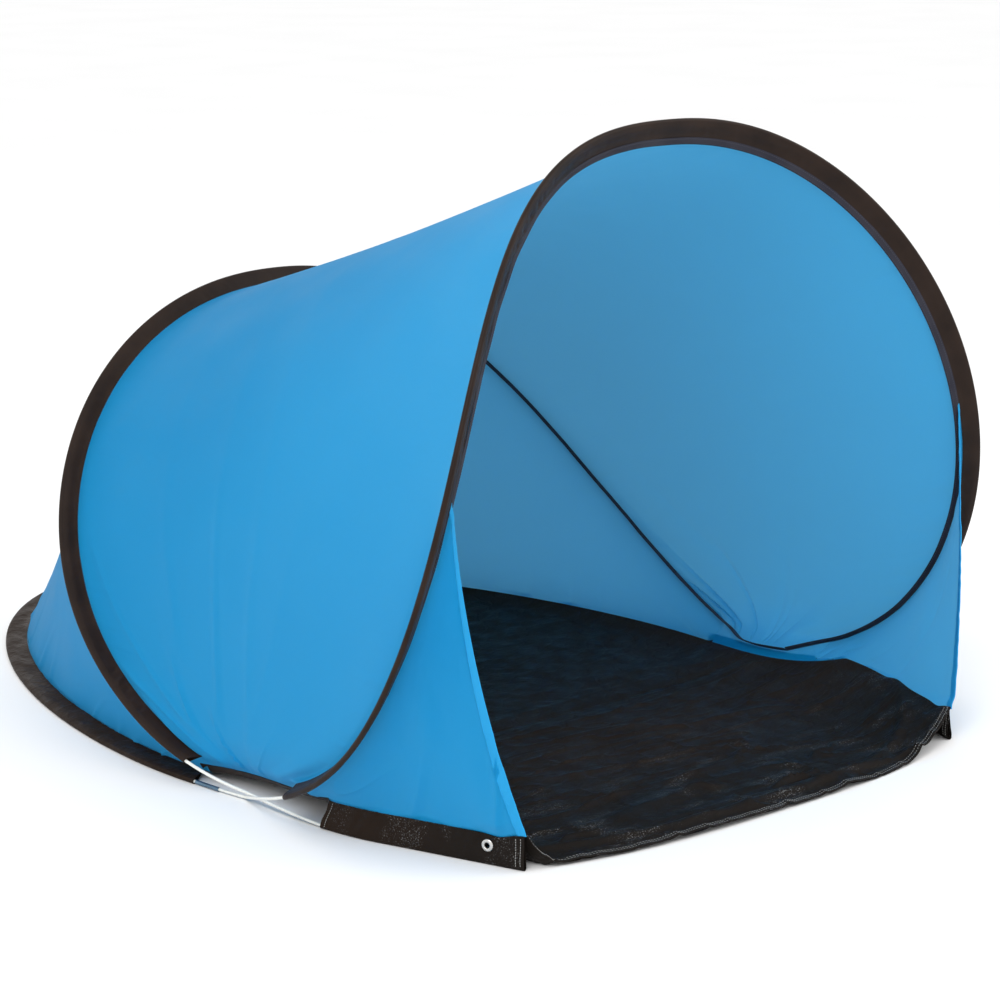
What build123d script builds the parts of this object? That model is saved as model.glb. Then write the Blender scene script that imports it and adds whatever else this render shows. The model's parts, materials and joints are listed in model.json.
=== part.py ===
from build123d import *
import os
from math import acos, cos, pi, radians, sin, tan

# Pop-up beach tent. Two closed spring-rod rings cross on the ground at the left and right.
#   ring A = rear arch + front loop under the groundsheet
#   ring B = front arch + rear loop around the groundsheet
# Millimetres. X is across the mouth, the mouth faces -Y, Z is up. All shapes are worked out
# about the line through the two crossings (y = 0) and moved by CENTRE_Y when they are written.

# ---- driving dimensions ----
CROSSING_HALF = 620.0        # half the spacing of the two crossings
REAR_END = 1375.0            # from the crossing line to the outside of the rear loop
FRONT_END = 625.0            # from the crossing line to the front hem
CENTRE_Y = (REAR_END - FRONT_END) / 2

ROD_R = 2.75                 # fibreglass rod, 5.5 mm
TUNNEL_R = 4.0               # room for the rod in the fold of a sleeve
PLY = 0.8                    # one layer of sleeve cloth, thicker than the real one
SEAM_GAP = 0.6               # between the two plies of a sleeve at its seam
SLEEVE_R = TUNNEL_R + PLY
GROUND_Z = SLEEVE_R          # a rod on the ground, in its sleeve
RING_A_LIFT = 2 * ROD_R + 3.5  # ring A passes over ring B at each crossing
HINGE_Z = GROUND_Z + RING_A_LIFT / 2

# half width, reach and squareness of each half hoop; lean is the angle from the ground ahead,
# and the front arch's legs leave the crossings at least_lean
FRONT_ARCH = dict(
    half_width=670.0, reach=778.0, squareness=2.36, foot_lean=2.0, top_lean=73.0, least_lean=16.0
)
REAR_ARCH = dict(half_width=670.0, reach=724.0, squareness=2.18, foot_lean=168.5, top_lean=135.0)
REAR_LOOP = dict(half_width=640.0, squareness=1.82, foot_lean=180.0, top_lean=180.0)
FRONT_LOOP_REACH = 575.0     # from the crossing line to the front of ring A
FRONT_LOOP_SQUARENESS = 3.0

ARCH_SLEEVE_W = 29.0         # rod to seam
FLOOR_SLEEVE_W = 37.0
FLOOR_SEAM_RISE = 7.0        # the rear floor seam lies a little higher than the rod
REAR_MOUTH = 118.0           # y of the sleeve mouths behind each crossing
FRONT_ARCH_MOUTH = 155.0     # distance of the front arch's sleeve mouths in front of it
SIDE_MOUTH = 193.0           # distance of the side sleeves' mouths in front of it
STITCH_LINE = 14.0           # a row of stitches holds the plies together this far from the rod

CORNER_HALF = 500.0          # half the spacing of the front corners
CORNER_Y = -556.0
SIDE_SLEEVE_H = 45.0         # rod to seam; the side sleeves stand up
SIDE_LEAVE = 322.0           # here the rod starts to leave the side sleeve for the front loop

SHEET_T = 1.2                # groundsheet
RIM_RUN = 42.0               # horizontal run of the groundsheet's turned-up edge
SHEET_FOLD_GAP = 2.0         # the groundsheet's halves stop this far from the crossing line,
RIM_START = 40.0             # and their turned-up edges reach full height this far from it
BINDING_FOLD_GAP = 4.0       # the edge bindings' halves stop this far from the crossing line,
BINDING_STEP = 3.0           # and the rear ones stand this far outside, to let the front past
SHAVE = 0.2                  # cut off under the sheet, which leaves one flat face on the ground
EDGE_INSET = 27.0            # the bound edge stands this far inside each crossing
EDGE_Z = 28.0
FABRIC_T = 1.0               # canopy, rear wall and wings
SHEET_CLEAR = 3.0            # the groundsheet stops about this far from a sleeve's seam
PANEL_CLEAR = 5.0            # a panel stops this far from its sleeve's seam
WING_CLEAR = 11.0            # and a wing stops short of the tape on the seam
TAPE_W = 8.0                 # the tape binds the seam and stands inward from it
TAPE_CLEAR = 0.5
TAPE_FOOT_Z = 125.0          # the tapes end this high above the ground
TAPE_T = 1.4
HEM_W = 14.0
HEM_T = 0.8
WING_TOP_Z = 580.0           # the wings end this high on the front arch's seam
CANOPY_SAG = 0.012           # hollow of each panel, as a share of its span
WALL_SAG = 0.012
WING_SAG = 0.0

FERRULE_R = 3.5
FERRULE_L = 58.0
EYELET_HOLE_R = 4.5
EYELET_WALL = 0.6
EYELET_FLANGE_R = 10.5
EYELET_FLANGE_T = 0.9
EYELET_FROM_CORNER = 66.0    # along the side sleeve
EYELET_Z = 31.0

STATIONS = 45                # along each hoop

sides = (("left", -1), ("right", 1))


# ---- curves ----
def crossing_turn(half_width, squareness):
    """Angle of a half hoop's superellipse at its crossing, below its widest point."""
    return -acos((CROSSING_HALF / half_width) ** (squareness / 2))


def half_hoop(half_width, reach, squareness, foot_lean, top_lean, steps, lift=0.0, least_lean=0.0):
    """Points from the right crossing to the top of a hoop: a superellipse in x and in the
    distance from the crossing line, leaned by an angle that grows from foot to top."""
    power = 2 / squareness
    first = crossing_turn(half_width, squareness)
    foot = reach * sin(-first) ** power
    points = []
    for i in range(steps + 1):
        turn = first + (pi / 2 - first) * i / steps
        rise = sin(turn)
        out = foot + reach * (abs(rise) ** power if rise > 0 else -(abs(rise) ** power))
        share = out / (foot + reach)
        even_lean = foot_lean + (top_lean - foot_lean) * share
        lean = radians((even_lean**4 + least_lean**4) ** 0.25)
        x = half_width * max(cos(turn), 0.0) ** power
        points.append(Vector(x, -out * cos(lean), out * sin(lean) + GROUND_Z + lift * (1 - share)))
    return points


def mirrored(points):
    """The whole hoop, left to right, from its right half."""
    left = [Vector(-p.X, p.Y, p.Z) for p in points]
    return left + points[-2::-1]


def resample(points, count):
    """The same polyline with evenly spaced points."""
    lengths = [0.0]
    for a, b in zip(points, points[1:]):
        lengths.append(lengths[-1] + (b - a).length)
    result = []
    j = 0
    for i in range(count):
        target = lengths[-1] * i / (count - 1)
        while j < len(points) - 2 and lengths[j + 1] < target:
            j += 1
        share = (target - lengths[j]) / (lengths[j + 1] - lengths[j])
        result.append(points[j] + (points[j + 1] - points[j]) * share)
    return result


def trim(points, keep):
    """The stretch of a polyline where keep(point) holds."""
    return [p for p in points if keep(p)]


def tangent(points, i):
    return (points[min(i + 1, len(points) - 1)] - points[max(i - 1, 0)]).normalized()


def middle(points):
    """The point that a hoop's sleeves face: half way between its feet and its top."""
    top = points[len(points) // 2]
    return Vector(0, top.Y / 2, top.Z / 2)


def inward(points, i, centre):
    """Unit vector across the curve, towards the middle of its hoop."""
    along = tangent(points, i)
    to_centre = centre - points[i]
    across = to_centre - along * to_centre.dot(along)
    return across.normalized()


def seam_line(points, centre, width, rise=0.0):
    """Where a sleeve's two plies meet, a sleeve's width inside the rod."""
    return [p + inward(points, i, centre) * width + Vector(0, 0, rise) for i, p in enumerate(points)]


# ---- solids ----
def ruled_solid(sections):
    wires = [Wire.make_polygon(points, close=True) for points in sections]
    return Solid.make_loft(wires, ruled=True)


def rod(points, radius=ROD_R):
    """A round rod through the points: straight runs joined by the largest tangent arcs."""
    radii = []
    for a, b, c in zip(points, points[1:], points[2:]):
        turn = radians((b - a).get_angle(c - b))
        run = min((b - a).length, (c - b).length)
        radii.append(0.45 * run / tan(turn / 2))
    path = FilletPolyline(*points, radius=radii)
    start = Plane(origin=path @ 0, z_dir=path % 0)
    return sweep(start * Circle(radius), path=path).solids()[0]


def sleeve_section(point, across, normal, width):
    """A strip folded round the rod, with its two plies side by side at the seam."""
    def fold(radius):
        angles = (radians(a) for a in range(60, 301, 40))
        return [(radius * cos(a), radius * sin(a)) for a in angles]
    near, far = SEAM_GAP / 2, SEAM_GAP / 2 + PLY
    outline = [(width, far), (STITCH_LINE, far)] + fold(SLEEVE_R) + [(STITCH_LINE, -far), (width, -far)]
    outline += [(width, -near), (STITCH_LINE, -near)] + fold(TUNNEL_R)[::-1]
    outline += [(STITCH_LINE, near), (width, near)]
    return [point + across * d + normal * n for d, n in outline]


def sleeve(points, aims, width):
    """A folded sleeve along a rod; aims holds each station's point on the seam line."""
    sections = []
    for i, point in enumerate(points):
        along = tangent(points, i)
        to_seam = aims[i] - point
        across = (to_seam - along * to_seam.dot(along)).normalized()
        sections.append(sleeve_section(point, across, along.cross(across), width))
    return ruled_solid(sections)


def ribbon(points, directions, start, end, thickness):
    """A flat strip beside a line, from start to end along each station's direction."""
    sections = []
    for i, point in enumerate(points):
        across = directions[i]
        normal = tangent(points, i).cross(across).normalized() * (thickness / 2)
        near, far = point + across * start, point + across * end
        sections.append([near - normal, far - normal, far + normal, near + normal])
    return ruled_solid(sections)


def panel(edge_a, edge_b, sag, clear_b=PANEL_CLEAR, steps=4):
    """A thin cloth panel between two seam lines, hollowed towards its inside by sag."""
    sections = []
    for i in range(len(edge_a)):
        chord = edge_b[i] - edge_a[i]
        out = tangent(edge_a, i) + tangent(edge_b, i)
        normal = out.cross(chord).normalized()
        unit = chord.normalized()
        a = edge_a[i] + unit * PANEL_CLEAR
        b = edge_b[i] - unit * clear_b
        upper, lower = [], []
        for j in range(steps + 1):
            share = j / steps
            middle_point = a + (b - a) * share - normal * (4 * sag * chord.length * share * (1 - share))
            upper.append(middle_point + normal * FABRIC_T / 2)
            lower.append(middle_point - normal * FABRIC_T / 2)
        sections.append(upper + lower[::-1])
    return ruled_solid(sections)


def on_side(points, side):
    """Points of the right side, mirrored to the left where side is -1."""
    return [Vector(p.X * side, p.Y, p.Z) for p in points]


# ---- hoops: rod centre lines, left to right ----
fine = 400
loop_turn = crossing_turn(REAR_LOOP["half_width"], REAR_LOOP["squareness"])
loop_reach = (REAR_END - SLEEVE_R) / (1 + sin(-loop_turn) ** (2 / REAR_LOOP["squareness"]))
front_line = mirrored(half_hoop(**FRONT_ARCH, steps=fine))
rear_line = mirrored(half_hoop(**REAR_ARCH, steps=fine, lift=RING_A_LIFT))
loop_line = mirrored(half_hoop(**REAR_LOOP, reach=loop_reach, steps=fine))

front_hoop = resample(trim(front_line, lambda p: p.Y < -FRONT_ARCH_MOUTH), STATIONS)
rear_hoop = resample(trim(rear_line, lambda p: p.Y > REAR_MOUTH), STATIONS)
floor_hoop = resample(trim(loop_line, lambda p: p.Y > REAR_MOUTH), STATIONS)

front_middle, rear_middle = middle(front_line), middle(rear_line)
floor_middle = Vector(0, REAR_END * 0.42, GROUND_Z)

front_seam = seam_line(front_hoop, front_middle, ARCH_SLEEVE_W)
rear_seam = seam_line(rear_hoop, rear_middle, ARCH_SLEEVE_W)
floor_seam = seam_line(floor_hoop, floor_middle, FLOOR_SLEEVE_W, FLOOR_SEAM_RISE)


def loop_half_width(forward):
    """Half width of ring A's front loop at a distance in front of the crossing line."""
    share = min(forward / FRONT_LOOP_REACH, 1.0)
    return CROSSING_HALF * (1 - share**FRONT_LOOP_SQUARENESS) ** (1 / FRONT_LOOP_SQUARENESS)


def front_loop(steps):
    """Rod centre line of ring A's right front half, from the crossing to the front middle."""
    points = []
    for i in range(steps + 1):
        forward = FRONT_LOOP_REACH * sin(pi / 2 * i / steps) ** (2 / FRONT_LOOP_SQUARENESS)
        lift = RING_A_LIFT * max(0.0, 1 - forward / SIDE_MOUTH)
        points.append(Vector(loop_half_width(forward), -forward, GROUND_Z + lift))
    return points


def side_bottom(forward):
    """Bottom fold of the right side sleeve: along the rod, then straight to the corner."""
    if forward <= SIDE_LEAVE:
        return Vector(loop_half_width(forward), -forward, GROUND_Z)
    share = (forward - SIDE_LEAVE) / (-CORNER_Y - SIDE_LEAVE)
    leave = loop_half_width(SIDE_LEAVE)
    return Vector(leave + (CORNER_HALF - leave) * share, -forward, GROUND_Z)


def side_seam(forward):
    return side_bottom(forward) + Vector(0, 0, SIDE_SLEEVE_H)


def edge_line(share):
    """Bound edge of the groundsheet beside the right crossing, rear (0) to front (1)."""
    rear = floor_seam[-1]
    front = side_seam(SIDE_MOUTH)
    recess = 4 * share * (1 - share)
    straight = rear + (front - rear) * share
    low = EDGE_Z - (rear.Z + front.Z) / 2
    return straight + Vector(-EDGE_INSET * recess, 0, low * recess)


def edge_share(y):
    return (floor_seam[-1].Y - y) / (floor_seam[-1].Y + SIDE_MOUTH)


def sheet_edge(y):
    """Outer edge of the right half of the groundsheet at y: x and height."""
    if y >= floor_seam[-1].Y:
        right_half = floor_seam[len(floor_seam) // 2:]
        for a, b in zip(right_half, right_half[1:]):
            if a.Y >= y >= b.Y:
                point = a + (b - a) * ((a.Y - y) / (a.Y - b.Y))
                return point.X, point.Z
    if y <= -SIDE_MOUTH:
        return side_seam(min(-y, -CORNER_Y)).X, side_seam(0).Z
    edge = edge_line(edge_share(y))
    return edge.X, edge.Z


def evenly(start, end, count):
    return [start + (end - start) * i / (count - 1) for i in range(count)]


def sheet_section(y, half_width, height):
    """Section of the groundsheet across the tent, turned up at both sides."""
    run = min(RIM_RUN, half_width * 0.6)
    rise = max(height - SHEET_CLEAR, 0.0) * min((abs(y) - SHEET_FOLD_GAP) / (RIM_START - SHEET_FOLD_GAP), 1.0)
    reach = half_width - 2 * SHEET_CLEAR
    under = [(-reach, rise), (-reach + run, -SHAVE), (reach - run, -SHAVE), (reach, rise)]
    right_upper = [(reach, rise + SHEET_T), (reach - run, SHEET_T)]
    upper = right_upper + [(-x, z) for x, z in right_upper[::-1]]
    return [Vector(x, y, z) for x, z in under + upper]


def hem_y(x):
    """Front edge of the groundsheet: the hem bulges forward between the corners."""
    share = min(abs(x) / CORNER_HALF, 1.0)
    return CORNER_Y - (FRONT_END + CORNER_Y) * (1 - share**3)


# ---- build ----
parts = {}

# ring rods, each divided at the crossings
parts["front_arch_rod"] = rod(front_hoop)
parts["rear_arch_rod"] = rod(rear_hoop)
ferrule_mid = REAR_MOUTH - FERRULE_L / 2
floor_rod_line = resample(trim(loop_line, lambda p: p.Y > ferrule_mid), STATIONS)
parts["rear_floor_rod"] = rod(floor_rod_line)
right_loop = trim(front_loop(fine), lambda p: p.Y < -SIDE_MOUTH)
loop_rod_line = resample([Vector(-p.X, p.Y, p.Z) for p in right_loop] + right_loop[-2::-1], 31)
parts["front_floor_rod"] = rod(loop_rod_line)

ring_a_cross = trim(rear_line[fine:], lambda p: p.Y <= REAR_MOUTH - 0.5)
ring_a_cross += trim(front_loop(fine), lambda p: -SIDE_MOUTH + 0.5 <= p.Y < -1)
ring_b_cross = trim(loop_line[fine:], lambda p: p.Y <= ferrule_mid - 0.5)
ring_b_cross += trim(front_line[fine:][::-1], lambda p: -FRONT_ARCH_MOUTH + 0.5 <= p.Y < -1)
for side_name, side in sides:
    parts[f"{side_name}_crossing_rod_a"] = rod(on_side(resample(ring_a_cross, 8), side))
    parts[f"{side_name}_crossing_rod_b"] = rod(on_side(resample(ring_b_cross, 8), side))


def ferrule(centre, along):
    """A straight crimped tube over the two rod ends that meet in it."""
    plane = Plane(origin=centre - along.normalized() * FERRULE_L / 2, z_dir=along)
    tube = Cylinder(FERRULE_R, FERRULE_L, align=(Align.CENTER, Align.CENTER, Align.MIN))
    tube -= Cylinder(ROD_R + 0.05, FERRULE_L, align=(Align.CENTER, Align.CENTER, Align.MIN))
    crimp = Cylinder(FERRULE_R + 1, 2.5) - Cylinder(FERRULE_R - 0.35, 2.5)
    return (plane * (tube - Pos(0, 0, FERRULE_L / 2) * crimp)).solids()[0]


for side_name, side in sides:
    end = on_side(floor_rod_line[-3:], side)
    parts[f"{side_name}_ferrule"] = ferrule(end[-1], end[-1] - end[-2])
parts["front_ferrule"] = ferrule(loop_rod_line[15], Vector(1, 0, 0))

# arch and rear floor sleeves
parts["front_arch_sleeve"] = sleeve(front_hoop, front_seam, ARCH_SLEEVE_W)
parts["rear_arch_sleeve"] = sleeve(rear_hoop, rear_seam, ARCH_SLEEVE_W)
parts["rear_floor_sleeve"] = sleeve(floor_hoop, floor_seam, FLOOR_SLEEVE_W)

# side sleeves with their eyelets
side_stations = [side_bottom(f) for f in evenly(SIDE_MOUTH, -CORNER_Y, 10)]
side_aims = [p + Vector(0, 0, SIDE_SLEEVE_H) for p in side_stations]
eyelet_along = (side_stations[-1] - side_stations[-2]).normalized()
eyelet_point = side_stations[-1] - eyelet_along * EYELET_FROM_CORNER + Vector(0, 0, EYELET_Z - GROUND_Z)
eyelet_out = eyelet_along.cross(Vector(0, 0, 1))
eyelet_out = eyelet_out if eyelet_out.X > 0 else -eyelet_out
eyelet_plane = Plane(origin=eyelet_point, z_dir=eyelet_out)
ply_face = SEAM_GAP / 2 + PLY + 0.1
bottom = (Align.CENTER, Align.CENTER, Align.MIN)
barrel_length = 2 * (ply_face + EYELET_FLANGE_T)
barrel = Cylinder(EYELET_HOLE_R + EYELET_WALL, barrel_length)
flange = Pos(0, 0, ply_face) * Cylinder(EYELET_FLANGE_R, EYELET_FLANGE_T, align=bottom)
grommet = barrel + flange - Cylinder(EYELET_HOLE_R, 20)
washer_disc = Cylinder(EYELET_FLANGE_R, EYELET_FLANGE_T, align=bottom)
washer_disc = Pos(0, 0, -ply_face - EYELET_FLANGE_T) * washer_disc
washer = washer_disc - Cylinder(EYELET_HOLE_R + EYELET_WALL + 0.05, 20)
right_sleeve = sleeve(side_stations, side_aims, SIDE_SLEEVE_H)
right_sleeve -= rod(right_loop[:: len(right_loop) // 12], ROD_R + 0.9)
right_sleeve -= eyelet_plane * Cylinder(EYELET_HOLE_R + EYELET_WALL + 0.3, 20)
for side_name, side in sides:
    for name, shape in (("side_sleeve", right_sleeve), ("eyelet_grommet", eyelet_plane * grommet),
                        ("eyelet_washer", eyelet_plane * washer)):
        placed = shape if side > 0 else mirror(shape, about=Plane.YZ)
        parts[f"{side_name}_{name}"] = max(placed.solids(), key=lambda solid: solid.volume)

# groundsheet, in two halves that meet on the crossing line
above_ground = Box(3000, 3000, 300, align=(Align.CENTER, Align.CENTER, Align.MIN))
rear_rows = [SHEET_FOLD_GAP, RIM_START, 80.0] + evenly(floor_seam[-1].Y, REAR_END - FLOOR_SLEEVE_W - 45, 14)
rear_sections = [sheet_section(y, *sheet_edge(y)) for y in rear_rows]
parts["groundsheet_rear"] = (ruled_solid(rear_sections) & above_ground).solids()[0]
front_rows = [-SHEET_FOLD_GAP, -RIM_START, -100.0, -150.0] + evenly(-SIDE_MOUTH, CORNER_Y, 7)
front_sections = [sheet_section(y, *sheet_edge(y)) for y in front_rows]
front_sheet = (ruled_solid(front_sections) & above_ground) - rod(loop_rod_line, ROD_R + 0.8)
margin_half = CORNER_HALF - RIM_RUN - 10
hem_xs = evenly(-margin_half, margin_half, 25)
margin_edge = [Vector(x, hem_y(x) + HEM_W + 0.4, 0) for x in hem_xs]
margin_edge += [Vector(margin_half, CORNER_Y + 1, 0), Vector(-margin_half, CORNER_Y + 1, 0)]
margin = extrude(make_face(Polyline(*margin_edge, close=True)), SHEET_T, dir=(0, 0, 1))
parts["groundsheet_front"] = max((front_sheet + margin).solids(), key=lambda solid: solid.volume)
hem_line = [Vector(x, hem_y(x) + HEM_W, HEM_T / 2) for x in hem_xs]
parts["front_hem"] = ribbon(hem_line, [Vector(0, -1, 0)] * len(hem_line), 0.0, HEM_W, HEM_T)

# tunnel strip over ring A's rod where it crosses under the sheet behind the hem
tunnel_line = trim(loop_rod_line, lambda p: abs(p.X) < CORNER_HALF - 50)
tunnel_inside = [(4.4, 1.4), (4.4, 5.0), (3.0, 7.9), (0.0, 9.2), (-3.0, 7.9), (-4.4, 5.0), (-4.4, 1.4)]
tunnel_outside = [(-14, 1.4), (-14, 2.2), (-5.4, 2.4), (-5.3, 5.4), (-3.6, 8.7), (0.0, 10.1)]
tunnel_outside += [(-d, z) for d, z in tunnel_outside[-2::-1]]
tunnel_sections = []
for i, p in enumerate(tunnel_line):
    across = Vector(0, 0, 1).cross(tangent(tunnel_line, i))
    foot = Vector(p.X, p.Y, 0)
    tunnel_sections.append([foot + across * d + Vector(0, 0, z) for d, z in tunnel_inside + tunnel_outside])
parts["front_rod_tunnel"] = ruled_solid(tunnel_sections)

# bound black edges beside the crossings, one for each half of the groundsheet
binding_t, binding_h = 1.6, 12.0
rear_shares = evenly(0.04, edge_share(BINDING_FOLD_GAP), 6)
front_shares = evenly(edge_share(-BINDING_FOLD_GAP), 0.96, 8)
for half_name, shares, step in (("rear", rear_shares, BINDING_STEP), ("front", front_shares, 0.0)):
    sections = []
    for share in shares:
        stand_out = step * (share - shares[0]) / (shares[-1] - shares[0])
        edge = edge_line(share) + Vector(1.5 + stand_out, 0, 1.5)
        outline = [(0, 0), (binding_t, 0), (binding_t, binding_h), (0, binding_h)]
        sections.append([edge + Vector(x, 0, z) for x, z in outline])
    for side_name, side in sides:
        mirrored_sections = [on_side(section, side) for section in sections]
        parts[f"{side_name}_{half_name}_edge_binding"] = ruled_solid(mirrored_sections)

# inner seam tapes of the two arches
for hoop_name, points, seam, centre in (("front_arch", front_hoop, front_seam, front_middle),
                                        ("rear_arch", rear_hoop, rear_seam, rear_middle)):
    high = [i for i, p in enumerate(seam) if p.Z > TAPE_FOOT_Z]
    directions = [inward(points, i, centre) for i in high]
    strip = ribbon([seam[i] for i in high], directions, TAPE_CLEAR, TAPE_CLEAR + TAPE_W, TAPE_T)
    parts[f"{hoop_name}_seam_tape"] = strip

# canopy and rear wall, from crossing to crossing over the top
def right_bottom(share):
    return edge_line(share) + Vector(2, 0, binding_h + 4)


canopy_front = resample(front_seam, STATIONS)
canopy_rear = resample(rear_seam, STATIONS)
low_front, low_rear = right_bottom(0.62), right_bottom(0.14)
canopy_front = [on_side([low_front], -1)[0]] + canopy_front + [low_front]
canopy_rear = [on_side([low_rear], -1)[0]] + canopy_rear + [low_rear]
parts["canopy"] = panel(canopy_rear, canopy_front, CANOPY_SAG)
wall_low = resample(floor_seam, STATIONS)
wall_top = resample(rear_seam, STATIONS)
parts["rear_wall"] = panel(wall_low, wall_top, WALL_SAG)

# wings: from the lower legs of the front arch to the side sleeves, with a hemmed free edge
leg = [p for p in front_seam[len(front_seam) // 2:][::-1] if p.Z < WING_TOP_Z]
leg_line = resample(leg, 15)
wing_foot = [right_bottom(share) for share in evenly(0.66, 0.98, 5)]
wing_foot += [side_seam(f) + Vector(0, 0, 1.0) for f in evenly(SIDE_MOUTH + 6, -CORNER_Y, 10)]
wing_foot = resample(wing_foot, 15)
free_edge = [leg_line[-1], wing_foot[-1]]
along_edge = (free_edge[1] - free_edge[0]).normalized()
edge_forward = (Vector(0, -1, 0) - along_edge * along_edge.dot(Vector(0, -1, 0))).normalized()
for side_name, side in sides:
    wing = panel(on_side(wing_foot, side)[2:], on_side(leg_line, side)[2:], WING_SAG, WING_CLEAR)
    parts[f"{side_name}_wing"] = wing
    edge = on_side([free_edge[0] + along_edge * 4, free_edge[1] - along_edge * 4], side)
    direction = on_side([edge_forward], side)[0]
    parts[f"{side_name}_wing_hem"] = ribbon(edge, [direction] * 2, 1.0, 10.0, FABRIC_T)

# ---- write ----
os.makedirs("parts", exist_ok=True)
for name, solid in parts.items():
    export_step(Pos(0, -CENTRE_Y, 0) * solid, f"parts/{name}.step")
whole = Compound(children=[Pos(0, -CENTRE_Y, 0) * solid for solid in parts.values()]).bounding_box()
eyelet_row = eyelet_point - Vector(0, CENTRE_Y, 0)
print("nodes", len(parts), "low", whole.min, "high", whole.max)
print("hinges: y", -CENTRE_Y, "z", HINGE_Z)
print("right eyelet: centre", eyelet_row, "axis", eyelet_out, "length", barrel_length)
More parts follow.
